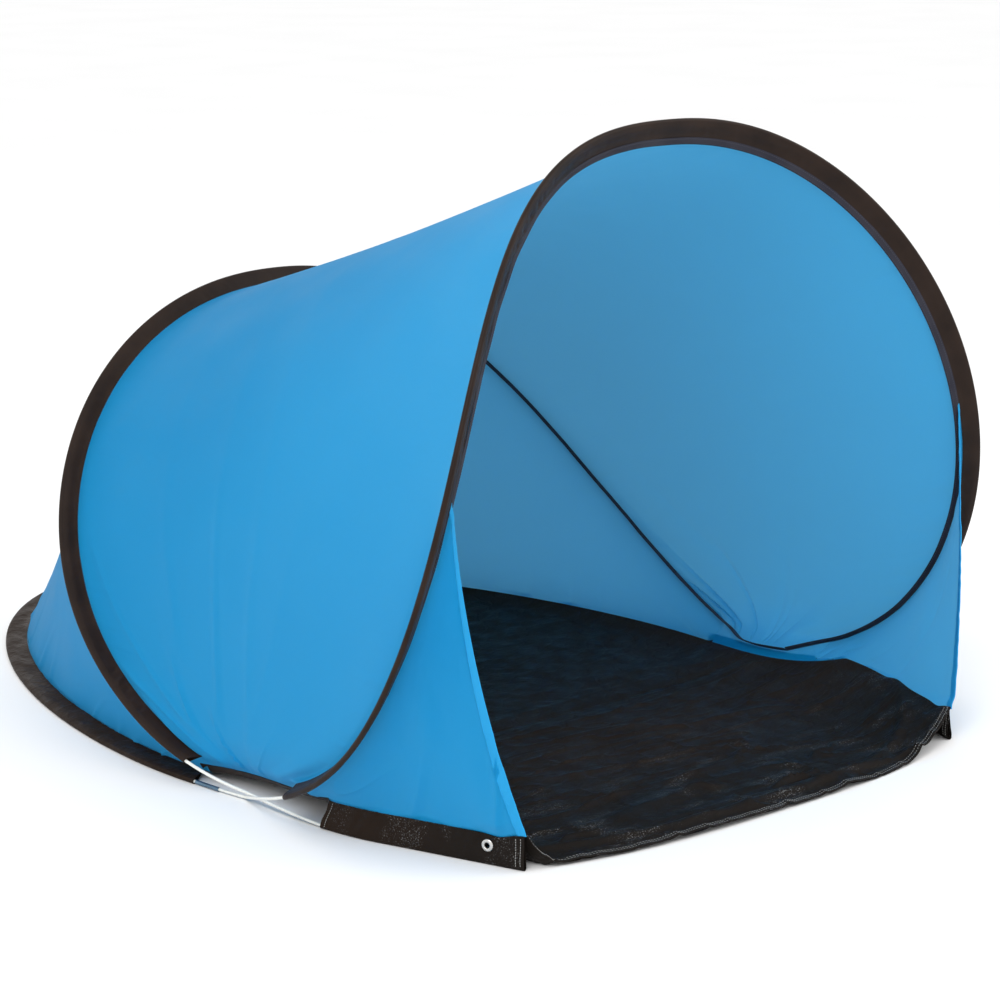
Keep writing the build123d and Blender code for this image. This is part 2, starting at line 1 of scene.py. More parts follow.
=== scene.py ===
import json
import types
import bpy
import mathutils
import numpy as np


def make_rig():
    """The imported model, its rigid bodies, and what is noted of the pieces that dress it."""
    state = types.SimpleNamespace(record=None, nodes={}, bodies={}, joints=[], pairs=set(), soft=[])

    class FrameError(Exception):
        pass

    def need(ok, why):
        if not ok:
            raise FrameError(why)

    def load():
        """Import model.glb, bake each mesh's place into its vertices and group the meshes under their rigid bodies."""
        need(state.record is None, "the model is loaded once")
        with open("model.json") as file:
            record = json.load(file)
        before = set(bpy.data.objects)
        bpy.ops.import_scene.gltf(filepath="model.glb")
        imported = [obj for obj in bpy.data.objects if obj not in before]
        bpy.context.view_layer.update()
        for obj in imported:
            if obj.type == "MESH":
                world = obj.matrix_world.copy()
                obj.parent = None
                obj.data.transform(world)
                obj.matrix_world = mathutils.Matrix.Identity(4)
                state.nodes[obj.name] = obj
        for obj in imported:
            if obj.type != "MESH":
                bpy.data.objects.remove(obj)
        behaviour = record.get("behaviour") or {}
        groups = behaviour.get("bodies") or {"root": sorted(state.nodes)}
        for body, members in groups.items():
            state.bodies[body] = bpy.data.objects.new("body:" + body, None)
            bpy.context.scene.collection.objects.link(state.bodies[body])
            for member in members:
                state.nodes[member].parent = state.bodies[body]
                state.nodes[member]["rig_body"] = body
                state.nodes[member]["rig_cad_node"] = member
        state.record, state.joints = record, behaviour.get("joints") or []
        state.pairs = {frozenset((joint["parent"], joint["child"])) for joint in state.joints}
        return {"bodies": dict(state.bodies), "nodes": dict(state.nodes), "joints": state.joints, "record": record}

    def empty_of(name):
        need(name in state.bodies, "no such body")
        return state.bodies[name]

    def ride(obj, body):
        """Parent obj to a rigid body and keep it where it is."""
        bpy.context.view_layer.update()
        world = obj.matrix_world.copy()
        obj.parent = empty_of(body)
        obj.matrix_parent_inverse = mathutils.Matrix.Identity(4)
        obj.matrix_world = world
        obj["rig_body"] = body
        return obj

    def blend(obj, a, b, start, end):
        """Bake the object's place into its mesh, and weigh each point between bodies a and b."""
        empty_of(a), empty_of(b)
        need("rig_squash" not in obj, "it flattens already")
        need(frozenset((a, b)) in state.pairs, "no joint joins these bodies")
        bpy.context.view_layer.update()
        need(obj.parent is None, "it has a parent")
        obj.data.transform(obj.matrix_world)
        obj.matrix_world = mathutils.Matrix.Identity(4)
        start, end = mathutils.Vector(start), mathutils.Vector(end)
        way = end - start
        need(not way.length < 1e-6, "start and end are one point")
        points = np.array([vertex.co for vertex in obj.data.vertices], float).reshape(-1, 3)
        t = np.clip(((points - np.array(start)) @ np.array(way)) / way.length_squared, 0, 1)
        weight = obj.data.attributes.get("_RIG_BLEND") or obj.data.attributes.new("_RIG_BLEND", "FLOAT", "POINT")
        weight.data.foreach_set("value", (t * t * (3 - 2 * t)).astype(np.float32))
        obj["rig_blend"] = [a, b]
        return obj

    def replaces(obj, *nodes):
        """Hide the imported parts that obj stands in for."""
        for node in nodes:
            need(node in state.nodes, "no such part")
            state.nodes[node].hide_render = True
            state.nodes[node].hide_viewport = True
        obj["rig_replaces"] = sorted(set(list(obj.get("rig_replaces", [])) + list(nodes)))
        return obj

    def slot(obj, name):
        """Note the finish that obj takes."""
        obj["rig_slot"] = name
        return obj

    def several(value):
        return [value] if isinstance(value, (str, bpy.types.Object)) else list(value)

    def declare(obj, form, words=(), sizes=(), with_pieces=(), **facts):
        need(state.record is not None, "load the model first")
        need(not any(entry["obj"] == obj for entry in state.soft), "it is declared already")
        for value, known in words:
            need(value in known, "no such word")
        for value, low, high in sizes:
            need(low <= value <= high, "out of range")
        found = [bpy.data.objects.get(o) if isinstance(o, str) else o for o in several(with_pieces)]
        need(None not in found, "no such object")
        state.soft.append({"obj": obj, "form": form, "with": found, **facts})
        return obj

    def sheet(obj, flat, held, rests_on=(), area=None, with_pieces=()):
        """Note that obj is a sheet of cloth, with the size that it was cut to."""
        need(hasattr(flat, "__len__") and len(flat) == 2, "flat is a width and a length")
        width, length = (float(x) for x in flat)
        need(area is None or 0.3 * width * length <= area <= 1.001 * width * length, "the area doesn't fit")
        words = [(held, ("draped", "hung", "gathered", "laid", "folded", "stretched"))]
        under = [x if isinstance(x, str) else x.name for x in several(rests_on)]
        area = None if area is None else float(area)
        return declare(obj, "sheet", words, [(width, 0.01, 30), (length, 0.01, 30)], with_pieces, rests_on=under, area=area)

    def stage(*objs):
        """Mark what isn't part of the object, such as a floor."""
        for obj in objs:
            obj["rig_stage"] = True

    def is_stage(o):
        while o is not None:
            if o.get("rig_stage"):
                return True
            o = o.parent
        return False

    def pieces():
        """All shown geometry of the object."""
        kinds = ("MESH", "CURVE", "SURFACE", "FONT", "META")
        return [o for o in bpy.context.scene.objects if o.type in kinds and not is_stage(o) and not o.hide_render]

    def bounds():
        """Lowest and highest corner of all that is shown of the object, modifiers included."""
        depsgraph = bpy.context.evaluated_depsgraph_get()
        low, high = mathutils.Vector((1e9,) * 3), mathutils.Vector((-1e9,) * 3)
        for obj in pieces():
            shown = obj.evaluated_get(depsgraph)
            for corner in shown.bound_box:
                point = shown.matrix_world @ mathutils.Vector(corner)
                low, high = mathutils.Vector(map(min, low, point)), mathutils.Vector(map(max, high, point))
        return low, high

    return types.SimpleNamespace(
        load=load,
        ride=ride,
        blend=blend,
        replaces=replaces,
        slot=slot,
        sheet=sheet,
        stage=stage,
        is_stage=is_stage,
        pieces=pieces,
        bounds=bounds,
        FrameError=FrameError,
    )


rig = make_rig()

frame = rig.load()
import json
from math import acos, cos, pi, radians, sin

import bpy
import numpy as np
from mathutils import Vector

cad_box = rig.bounds()

# Pop-up beach tent. Metres. Shapes are worked out about the line through the two crossings
# (y = 0, the hinge line) and moved into the row frame by to_row(). The mouth faces -Y.

# ---- driving dimensions ----
HINGE = Vector(frame["joints"][0]["pos_m"])
CROSSING_HALF = 0.620
REAR_END = 1.375
FRONT_END = 0.625
ROD_R = 0.00275
GROUND_Z = 0.0048
RING_A_LIFT = 0.009
FRONT_LOOP_REACH = 0.575
FRONT_LOOP_SQUARENESS = 3.0

ARCH_SLEEVE_W = 0.029
FLOOR_SLEEVE_W = 0.037
FLOOR_SEAM_RISE = 0.007
REAR_MOUTH = 0.118
FRONT_ARCH_MOUTH = 0.155
SIDE_MOUTH = 0.193
SIDE_SLEEVE_H = 0.045
SIDE_LEAVE = 0.322
CORNER_HALF = 0.500
CORNER_Y = -0.556
EDGE_INSET = 0.027
EDGE_FRONT = 0.213           # where the bound edge meets the side sleeve's top
EDGE_DIP = 0.070
WING_TOP_Z = 0.580

CLOTH = 0.0005               # thickness of the thin cloths
SHEET = 0.0009               # groundsheet
MIRROR = np.array([-1.0, 1.0, 1.0])
FLIP = {-1: MIRROR, 1: np.ones(3)}
SIDES = (("left", -1), ("right", 1))
ROW_SHIFT = np.array([0.0, HINGE.y, 0.0])


# ---- curves: arrays of points about the crossing line ----
def hoop(half_width, reach, squareness, foot_lean, top_lean, lift=0.0, least_lean=0.0, steps=400):
    """Rod centre line from the left crossing over the top to the right crossing."""
    power = 2 / squareness
    first = -acos((CROSSING_HALF / half_width) ** (1 / power))
    turn = np.linspace(first, pi / 2, steps + 1)
    rise = np.sin(turn)
    foot = reach * sin(-first) ** power
    out = foot + reach * np.sign(rise) * np.abs(rise) ** power
    share = out / (foot + reach)
    even_lean = foot_lean + (top_lean - foot_lean) * share
    lean = np.radians((even_lean**4 + least_lean**4) ** 0.25)
    x = half_width * np.maximum(np.cos(turn), 0.0) ** power
    height = out * np.sin(lean) + GROUND_Z + lift * (1 - share)
    right = np.stack([x, -out * np.cos(lean), height], 1)
    return np.vstack([right * MIRROR, right[-2::-1]])


def along(line):
    """Length along a line at each of its points."""
    return np.concatenate([[0.0], np.cumsum(np.linalg.norm(np.diff(line, axis=0), axis=1))])


def at(line, distances):
    """Points of a line at the given distances along it."""
    run = along(line)
    return np.stack([np.interp(distances, run, line[:, k]) for k in range(3)], 1)


def resample(line, count):
    return at(line, np.linspace(0, along(line)[-1], count))


def unit(v):
    return v / np.maximum(np.linalg.norm(v, axis=-1, keepdims=True), 1e-12)


def tangents(line):
    return unit(np.gradient(line, axis=0))


def inward(line, centre):
    """Unit vectors across a line, towards the middle of its hoop."""
    run = tangents(line)
    to_centre = centre - line
    return unit(to_centre - run * np.sum(to_centre * run, axis=1, keepdims=True))


def smoothed(line, rounds):
    """The line with its corners rounded; its ends stay."""
    line = line.copy()
    for _ in range(rounds):
        line[1:-1] = (line[:-2] + 2 * line[1:-1] + line[2:]) / 4
    return line


def smooth(x):
    x = np.clip(x, 0.0, 1.0)
    return x * x * (3 - 2 * x)


def noise(x, y, seed):
    """Smooth noise from -1 to 1, about one bump per unit. x and y may be numbers or grids."""
    x, y = np.broadcast_arrays(np.asarray(x, float), np.asarray(y, float))
    table = np.random.default_rng(seed).uniform(-1, 1, (64, 64))
    i, j = np.floor(x).astype(int), np.floor(y).astype(int)
    u, v = smooth(x - i), smooth(y - j)
    low = table[i % 64, j % 64] * (1 - u) + table[(i + 1) % 64, j % 64] * u
    high = table[i % 64, (j + 1) % 64] * (1 - u) + table[(i + 1) % 64, (j + 1) % 64] * u
    return low * (1 - v) + high * v


def creases(x, y, seed, sharp=2.0):
    """Narrow ridges where smooth noise passes zero, from 0 to 1."""
    return np.maximum(1 - np.abs(noise(x, y, seed)) * sharp * 2, 0.0) ** 2


FRONT_LINE = hoop(0.670, 0.778, 2.36, 2.0, 73.0, least_lean=16.0)
REAR_LINE = hoop(0.670, 0.724, 2.18, 168.5, 135.0, lift=RING_A_LIFT)
LOOP_TURN = acos((CROSSING_HALF / 0.640) ** 0.91)
LOOP_REACH = (REAR_END - GROUND_Z) / (1 + sin(LOOP_TURN) ** (2 / 1.82))
FLOOR_LINE = hoop(0.640, LOOP_REACH, 1.82, 180.0, 180.0)


def arch_middle(line):
    top = line[len(line) // 2]
    return np.array([0.0, top[1] / 2, top[2] / 2])


front_rod = resample(FRONT_LINE[FRONT_LINE[:, 1] < -FRONT_ARCH_MOUTH], 521)
rear_rod = resample(REAR_LINE[REAR_LINE[:, 1] > REAR_MOUTH], 481)
floor_rod = resample(FLOOR_LINE[FLOOR_LINE[:, 1] > REAR_MOUTH], 521)
front_across = inward(front_rod, arch_middle(FRONT_LINE))
rear_across = inward(rear_rod, arch_middle(REAR_LINE))
floor_across = inward(floor_rod, np.array([0.0, REAR_END * 0.42, GROUND_Z]))
front_seam = front_rod + front_across * ARCH_SLEEVE_W
rear_seam = rear_rod + rear_across * ARCH_SLEEVE_W
floor_seam = floor_rod + floor_across * FLOOR_SLEEVE_W + np.array([0.0, 0.0, FLOOR_SEAM_RISE])


def loop_half_width(forward):
    share = np.minimum(forward / FRONT_LOOP_REACH, 1.0)
    return CROSSING_HALF * (1 - share**FRONT_LOOP_SQUARENESS) ** (1 / FRONT_LOOP_SQUARENESS)


def front_loop(steps=200):
    """Ring A's rod from the right crossing to the front middle."""
    turn = np.linspace(0, pi / 2, steps)
    forward = FRONT_LOOP_REACH * np.sin(turn) ** (2 / FRONT_LOOP_SQUARENESS)
    lift = RING_A_LIFT * np.maximum(0.0, 1 - forward / SIDE_MOUTH)
    return np.stack([loop_half_width(forward), -forward, GROUND_Z + lift], 1)


def side_bottom(forward):
    """Bottom fold of the right side sleeve."""
    leave = loop_half_width(SIDE_LEAVE)
    share = (forward - SIDE_LEAVE) / (-CORNER_Y - SIDE_LEAVE)
    straight = leave + (CORNER_HALF - leave) * share
    x = np.where(forward <= SIDE_LEAVE, loop_half_width(np.minimum(forward, SIDE_LEAVE)), straight)
    return np.stack([x, -forward, np.full_like(forward, GROUND_Z)], -1)


side_line = side_bottom(np.linspace(SIDE_MOUTH, -CORNER_Y, 160))
side_top = side_line + np.array([0.0, 0.0, SIDE_SLEEVE_H])


def edge_line(share):
    """Bound edge of the groundsheet beside the right crossing, rear (0) to front (1)."""
    share = np.atleast_1d(share)[:, None]
    rear, front = floor_seam[-1], at(side_top, [EDGE_FRONT - SIDE_MOUTH])[0]
    recess = np.array([-EDGE_INSET, 0.0, 0.0]) * 4 * share * (1 - share)
    dip = np.array([0.0, 0.0, -EDGE_DIP]) * share**2 * (1 - share)
    return rear + (front - rear) * share + recess + dip


def to_row(points):
    return np.asarray(points, float) + ROW_SHIFT


# ---- meshes ----
def in_scene(name, data):
    obj = bpy.data.objects.new(name, data)
    bpy.context.scene.collection.objects.link(obj)
    return obj


def new_object(name, verts, faces, uv=None, sharp=40):
    mesh = bpy.data.meshes.new(name)
    mesh.from_pydata(to_row(verts).tolist(), [], faces)
    mesh.validate()
    if uv is not None:
        layer = mesh.uv_layers.new(name="Metres")
        index = np.zeros(len(mesh.loops), np.int32)
        mesh.loops.foreach_get("vertex_index", index)
        layer.data.foreach_set("uv", np.asarray(uv, np.float32)[index].ravel())
    mesh.polygons.foreach_set("use_smooth", np.ones(len(mesh.polygons), bool))
    mesh.set_sharp_from_angle(angle=radians(sharp))
    return in_scene(name, mesh)


def grid_normals(grid):
    return unit(np.cross(np.gradient(grid, axis=0), np.gradient(grid, axis=1)))


def grid_metres(grid):
    """Distance along and across a grid, as its UV map."""
    n, m = grid.shape[:2]
    run = np.linalg.norm(np.diff(grid, axis=0), axis=2)
    run = np.vstack([np.zeros((1, m)), np.cumsum(run, axis=0)])
    run = np.repeat(run.mean(axis=1, keepdims=True), m, axis=1)
    over = np.linalg.norm(np.diff(grid, axis=1), axis=2)
    over = np.hstack([np.zeros((n, 1)), np.cumsum(over, axis=1)])
    return np.stack([run, over], -1)


def sheet_mesh(name, grid, thickness, keep=None, sharp=40):
    """A thin closed solid about a grid of points. keep(points) says which cells stay."""
    n, m = grid.shape[:2]
    normal = grid_normals(grid) * thickness / 2
    verts = np.concatenate([(grid + normal).reshape(-1, 3), (grid - normal).reshape(-1, 3)])
    index = np.arange(n * m).reshape(n, m)
    solid = np.ones((n - 1, m - 1), bool)
    if keep is not None:
        middle = (grid[1:, 1:] + grid[:-1, :-1]) / 2
        solid = keep(middle)
    corners = [index[:-1, :-1], index[1:, :-1], index[1:, 1:], index[:-1, 1:]]
    quads = np.stack([c[solid] for c in corners], 1)
    faces = quads.tolist() + (quads[:, ::-1] + n * m).tolist()
    edges = {}
    for a, b in zip(quads.ravel().tolist(), np.roll(quads, -1, axis=1).ravel().tolist()):
        if edges.pop((b, a), None) is None:
            edges[(a, b)] = True
    faces += [(b, a, a + n * m, b + n * m) for a, b in edges]
    used = np.unique(np.array(quads))
    used = np.concatenate([used, used + n * m])
    renumber = np.zeros(2 * n * m, int)
    renumber[used] = np.arange(len(used))
    faces = [tuple(int(renumber[k]) for k in face) for face in faces]
    uv = grid_metres(grid).reshape(-1, 2)
    return new_object(name, verts[used], faces, np.concatenate([uv, uv])[used], sharp)


def frames_along(line):
    """Two unit vectors across a line at each point, turning as little as they can."""
    run = tangents(line)
    side = np.cross(run[0], [0.0, 0.0, 1.0])
    side = unit(side if np.linalg.norm(side) > 0.1 else np.cross(run[0], [1.0, 0.0, 0.0]))
    sides = []
    for t in run:
        side = unit(side - t * np.dot(side, t))
        sides.append(side)
    sides = np.array(sides)
    return sides, np.cross(run, sides)


def ring_faces(rings, around, closed=False):
    """Faces round a stack of rings; a closed stack joins its last ring to its first."""
    faces = []
    for i in range(rings if closed else rings - 1):
        low, high = i * around, (i + 1) % rings * around
        for j in range(around):
            k = (j + 1) % around
            faces.append((low + j, low + k, high + k, high + j))
    if not closed:
        faces.append(tuple(range(around))[::-1])
        faces.append(tuple((rings - 1) * around + j for j in range(around)))
    return faces


def tube_mesh(name, line, radius, around=16):
    """A round rod along a line, with rounded ends."""
    side, up = frames_along(line)
    run = tangents(line)
    turn = np.linspace(0, 2 * pi, around, endpoint=False)
    centres, radii = [p for p in line], [radius] * len(line)
    sides, ups = list(side), list(up)
    for bend in (30, 55, 78):
        back, shrink = radius * sin(radians(bend)), radius * cos(radians(bend))
        centres = [line[0] - run[0] * back] + centres + [line[-1] + run[-1] * back]
        radii = [shrink] + radii + [shrink]
        sides, ups = [side[0]] + sides + [side[-1]], [up[0]] + ups + [up[-1]]
    rings = [c + r * (np.cos(turn)[:, None] * s + np.sin(turn)[:, None] * u)
             for c, r, s, u in zip(centres, radii, sides, ups)]
    return new_object(name, np.concatenate(rings), ring_faces(len(rings), around))


def lathe_mesh(name, profile, centre, axis, around=48):
    """A ring turned about an axis from a closed profile of (radius, height) points."""
    axis = unit(np.asarray(axis, float))
    side = unit(np.cross(axis, [0.0, 0.0, 1.0]))
    up = np.cross(axis, side)
    turn = np.linspace(0, 2 * pi, around, endpoint=False)
    spokes = np.cos(turn)[:, None] * side + np.sin(turn)[:, None] * up
    verts = np.concatenate([centre + spokes * r + axis * h for r, h in profile])
    return new_object(name, verts, ring_faces(len(profile), around, closed=True))


def stitch_mesh(name, line, face, pitch=0.0042, length=0.0030, radius=0.00042):
    """A row of stitches on a line. face gives the way out of the cloth at each point."""
    run = along(line)
    middles = np.arange(pitch, run[-1] - pitch / 2, pitch)
    points = at(line, middles)
    forward = unit(at(line, middles + pitch / 4) - at(line, middles - pitch / 4))
    out = unit(np.stack([np.interp(middles, run, face[:, k]) for k in range(3)], 1))
    side = unit(np.cross(forward, out))
    rings, around = (-1.0, -0.55, 0.0, 0.55, 1.0), 6
    template = []
    for place in rings:
        size = radius * (0.35 if abs(place) == 1 else 1.0)
        for j in range(around):
            a = 2 * pi * j / around
            lift = radius * (0.9 - 0.9 * place * place)
            template.append((place * length / 2, size * cos(a), size * sin(a) + lift))
    template = np.array(template)
    basis = np.stack([forward, side, out], 1)
    verts = (points[:, None, :] + np.einsum("kc,ncd->nkd", template, basis)).reshape(-1, 3)
    one = [ring[:1] + ring[:0:-1] for ring in ring_faces(len(rings), around)]
    faces = [tuple(k + i * len(template) for k in ring) for i in range(len(points)) for ring in one]
    return new_object(name, verts, faces)


# ---- materials ----
class Paint:
    """A node material with a Principled shader, built up one node at a time."""

    def __init__(self, name, colour, roughness, **values):
        self.material = bpy.data.materials.new(name)
        self.material.use_nodes = True
        self.tree = self.material.node_tree
        self.shader = self.tree.nodes["Principled BSDF"]
        self.set(self.shader, {"Base Color": (*colour, 1), "Roughness": roughness, **values})

    def set(self, node, values):
        for key, value in values.items():
            socket = node.inputs[key]
            if isinstance(value, bpy.types.NodeSocket):
                self.tree.links.new(value, socket)
            else:
                socket.default_value = value

    def node(self, kind, values=None, **settings):
        node = self.tree.nodes.new(kind)
        for key, value in settings.items():
            setattr(node, key, value)
        self.set(node, values or {})
        return node

    def place(self):
        return self.node("ShaderNodeTexCoord").outputs["Object"]

    def metres(self):
        return self.node("ShaderNodeUVMap", uv_map="Metres").outputs[0]

    def scaled(self, vector, scale):
        return self.node("ShaderNodeMapping", {"Vector": vector, "Scale": scale}).outputs[0]

    def noise(self, vector, scale, detail=2.0, rough=0.5):
        values = {"Vector": vector, "Scale": scale, "Detail": detail, "Roughness": rough}
        return self.node("ShaderNodeTexNoise", values).outputs[0]

    def wave(self, vector, period, direction):
        values = {"Vector": vector, "Scale": 2 * pi / (20 * period)}
        return self.node("ShaderNodeTexWave", values, bands_direction=direction).outputs[1]

    def maths(self, operation, a, b):
        return self.node("ShaderNodeMath", {0: a, 1: b}, operation=operation).outputs[0]

    def ramp(self, factor, low, high, first, last):
        """Map Range from (low, high) to (first, last)."""
        values = {"Value": factor, "From Min": low, "From Max": high, "To Min": first, "To Max": last}
        return self.node("ShaderNodeMapRange", values).outputs[0]

    def patches(self, scale, detail, low=0.3, high=0.7, first=0.0, last=1.0):
        """Soft noise in the object's space, spread from first to last."""
        return self.ramp(self.noise(self.place(), scale, detail), low, high, first, last)

    def blend(self, factor, a, b):
        node = self.node("ShaderNodeMix", {0: factor}, data_type="RGBA")
        for socket, colour in zip([s for s in node.inputs if s.type == "RGBA"], (a, b)):
            if isinstance(colour, bpy.types.NodeSocket):
                self.tree.links.new(colour, socket)
            else:
                socket.default_value = (*colour, 1)
        return [s for s in node.outputs if s.type == "RGBA"][0]

    def weave(self, period):
        vector = self.metres()
        return self.maths("ADD", self.wave(vector, period, "X"), self.wave(vector, period, "Y"))

    def bump(self, height, distance, strength=1.0, normal=None):
        values = {"Height": height, "Distance": distance, "Strength": strength}
        if normal is not None:
            values["Normal"] = normal
        return self.node("ShaderNodeBump", values).outputs[0]


def polyester(name, colour, deep, through, share):
    """Thin coated cloth: a fine weave, soft tone changes, and light that comes through."""
    paint = Paint(name, colour, 0.50, **{"Specular IOR Level": 0.18, "Sheen Weight": 0.03,
                                        "Sheen Roughness": 0.5})
    base = paint.blend(paint.patches(2.2, 3.0), colour, deep)
    normal = paint.bump(paint.weave(0.0007), 0.00005, 0.35)
    crumple = paint.noise(paint.place(), 38.0, 3.0, 0.6)
    normal = paint.bump(crumple, 0.0009, 0.5, normal)
    rough = paint.patches(9.0, 2.0, first=0.42, last=0.56)
    paint.set(paint.shader, {"Base Color": base, "Roughness": rough, "Normal": normal})
    glow = paint.node("ShaderNodeBsdfTranslucent", {"Color": (*through, 1), "Normal": normal})
    mix = paint.node("ShaderNodeMixShader", {0: share, 1: paint.shader.outputs[0], 2: glow.outputs[0]})
    paint.set(paint.tree.nodes["Material Output"], {"Surface": mix.outputs[0]})
    return paint.material


def satin(name, colour, deep, rough):
    """Dense dyed cloth with a satin face."""
    paint = Paint(name, colour, rough, **{"Specular IOR Level": 0.15, "Sheen Weight": 0.02,
                                         "Sheen Roughness": 0.4})
    base = paint.blend(paint.patches(14.0, 3.0, 0.35, 0.65), colour, deep)
    twill = paint.wave(paint.metres(), 0.0011, "DIAGONAL")
    normal = paint.bump(twill, 0.00007, 0.5)
    normal = paint.bump(paint.noise(paint.place(), 160.0, 2.0), 0.0005, 0.3, normal)
    paint.set(paint.shader, {"Base Color": base, "Normal": normal})
    return paint.material


def tarpaulin(name, colour, deep, rough):
    """Woven tape sheet with a shiny coating: flat weave, sharp crinkles, painted glints on them as pale specks, and
    painted light that makes the base lighter inside the tent.
    """
    paint = Paint(name, colour, rough, **{"Specular IOR Level": 0.14, "IOR": 1.25})
    place = paint.place()
    cells = {"Vector": place, "Scale": 26.0, "Randomness": 1.0}
    edges = paint.node("ShaderNodeTexVoronoi", cells, feature="DISTANCE_TO_EDGE").outputs["Distance"]
    crinkle = paint.ramp(edges, 0.0, 0.12, 1.0, 0.0)
    small = paint.noise(paint.scaled(place, (1.0, 1.6, 1.0)), 60.0, 4.0, 0.65)
    base = paint.blend(paint.patches(7.0, 4.0), colour, deep)
    # Painted light: the base is lighter and warmer inside the tent, to make up for the canopy's shade and blue light,
    # and darker and more neutral towards the front (y below -0.56), where the outside light falls.
    painted_light_front = paint.ramp(paint.node("ShaderNodeSeparateXYZ", {0: place}).outputs[1], -0.84, -0.56, 1.0, 0.0)
    base = paint.blend(painted_light_front, base, (0.0125, 0.0098, 0.0082))
    # Painted glints: pale grey specks in the base colour, in patches, densest towards the front where the outside
    # light falls; they stand in for specular sparkle.
    glint_patch = paint.ramp(paint.noise(paint.scaled(place, (1.0, 2.2, 1.0)), 9.0, 2.0), 0.52, 0.64, 0.0, 1.0)
    glint_speck = paint.patches(480.0, 2.0, 0.60, 0.70)
    painted_glint = paint.maths("MULTIPLY", glint_patch, glint_speck)
    painted_glint = paint.maths("MULTIPLY", painted_glint, paint.ramp(painted_light_front, 0.0, 1.0, 0.10, 0.6))
    base = paint.blend(painted_glint, base, (0.42, 0.42, 0.42))
    shine = paint.patches(24.0, 3.0, 0.35, 0.65, rough - 0.10, rough + 0.12)
    normal = paint.bump(paint.weave(0.0022), 0.00012, 0.4)
    normal = paint.bump(small, 0.0022, 0.6, normal)
    normal = paint.bump(crinkle, 0.0010, 0.4, normal)
    paint.set(paint.shader, {"Base Color": base, "Roughness": shine, "Normal": normal})
    return paint.material


def metal(name, colour, rough, scratch):
    paint = Paint(name, colour, rough, Metallic=1.0)
    grain = paint.noise(paint.scaled(paint.place(), scratch), 220.0, 3.0)
    shade = paint.patches(60.0, 2.0)
    dark = tuple(c * 0.72 for c in colour)
    paint.set(paint.shader, {"Base Color": paint.blend(shade, colour, dark),
                             "Roughness": paint.ramp(grain, 0.3, 0.7, rough - 0.08, rough + 0.12),
                             "Normal": paint.bump(grain, 0.0002, 0.2)})
    return paint.material


def rod_paint():
    """Pale glass fibre: long fine streaks and a slightly uneven resin coat."""
    paint = Paint("fibreglass_rod", (0.80, 0.80, 0.76), 0.38, **{"Specular IOR Level": 0.45})
    streak = paint.noise(paint.scaled(paint.place(), (40.0, 3.0, 40.0)), 20.0, 3.0)
    base = paint.blend(paint.ramp(streak, 0.3, 0.7, 0.0, 1.0), (0.84, 0.84, 0.80), (0.70, 0.71, 0.66))
    paint.set(paint.shader, {"Base Color": base, "Normal": paint.bump(streak, 0.0003, 0.25)})
    return paint.material


def thread_paint(name, colour):
    paint = Paint(name, colour, 0.75, **{"Sheen Weight": 0.1})
    fibre = paint.noise(paint.place(), 900.0, 2.0)
    dark = tuple(c * 0.75 for c in colour)
    paint.set(paint.shader, {"Base Color": paint.blend(fibre, colour, dark),
                             "Normal": paint.bump(fibre, 0.0002, 0.4)})
    return paint.material


# looks: a material, and the slot that it fills
BLUE_CLOTH = polyester("blue_polyester", (0.006, 0.36, 0.70), (0.004, 0.33, 0.66), (0.38, 0.72, 0.88), 0.55)
HEM_CLOTH = polyester("blue_hem", (0.03, 0.42, 0.80), (0.02, 0.39, 0.76), (0.25, 0.68, 0.90), 0.35)
BROWN_CLOTH = satin("brown_black_satin", (0.021, 0.011, 0.007), (0.012, 0.006, 0.004), 0.50)
BLUE = (BLUE_CLOTH, "blue_polyester")
HEM_BLUE = (HEM_CLOTH, "blue_polyester")
BROWN = (BROWN_CLOTH, "arch_sleeve_cloth")
EDGE_BROWN = (BROWN_CLOTH, "black_sheet")
BINDING = (satin("binding_tape", (0.030, 0.030, 0.042), (0.018, 0.018, 0.028), 0.58), "seam_tape")
BLACK = (tarpaulin("black_sheet", (0.026, 0.0162, 0.0112), (0.020, 0.0122, 0.0085), 0.46), "black_sheet")
ROD = (rod_paint(), "fibreglass")
FERRULE = (metal("ferrule_metal", (0.16, 0.26, 0.36), 0.34, (1.0, 0.1, 1.0)), "ferrule_metal")
EYELET = (metal("eyelet_metal", (0.75, 0.74, 0.71), 0.26, (1.0, 1.0, 1.0)), "eyelet_metal")
WHITE_THREAD = (thread_paint("white_thread", (0.50, 0.50, 0.48)), "black_sheet")
DARK_THREAD = (thread_paint("dark_thread", (0.05, 0.05, 0.07)), "seam_tape")


def dress(obj, look, node=None, body=None):
    """Gives a piece its look, the CAD node that it stands for and the body that it rides on."""
    material, slot = look
    obj.data.materials.clear()
    obj.data.materials.append(material)
    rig.slot(obj, slot)
    if node:
        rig.replaces(obj, node)
    if body:
        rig.ride(obj, body)
    return obj


def ribbon(line, across, out, section, wave):
    """A strip along a line from a section's (step across, height) points; wave lifts it."""
    return np.stack([line + across * step + out * (height + wave)[:, None] for step, height in section], 1)


def cloth(name, grid, thickness, look, node=None, body=None, **options):
    return dress(sheet_mesh(name, grid, thickness, **options), look, node, body)


# ---- sleeves ----
def fold_section(width, bulge):
    """One ply of a folded strip, from the seam to the outside of the rod: run and height."""
    flat = [(width, 0.0005), (width - 0.002, 0.0008)]
    flat += [(d, 0.0008 + (bulge - 0.0008) * smooth(1 - (d - 0.004) / (width * 0.75)))
             for d in np.linspace(width - 0.005, 0.0035, 9)]
    arc = [(bulge * cos(radians(a)), bulge * sin(radians(a))) for a in (70, 95, 120, 145, 168)]
    return flat + arc


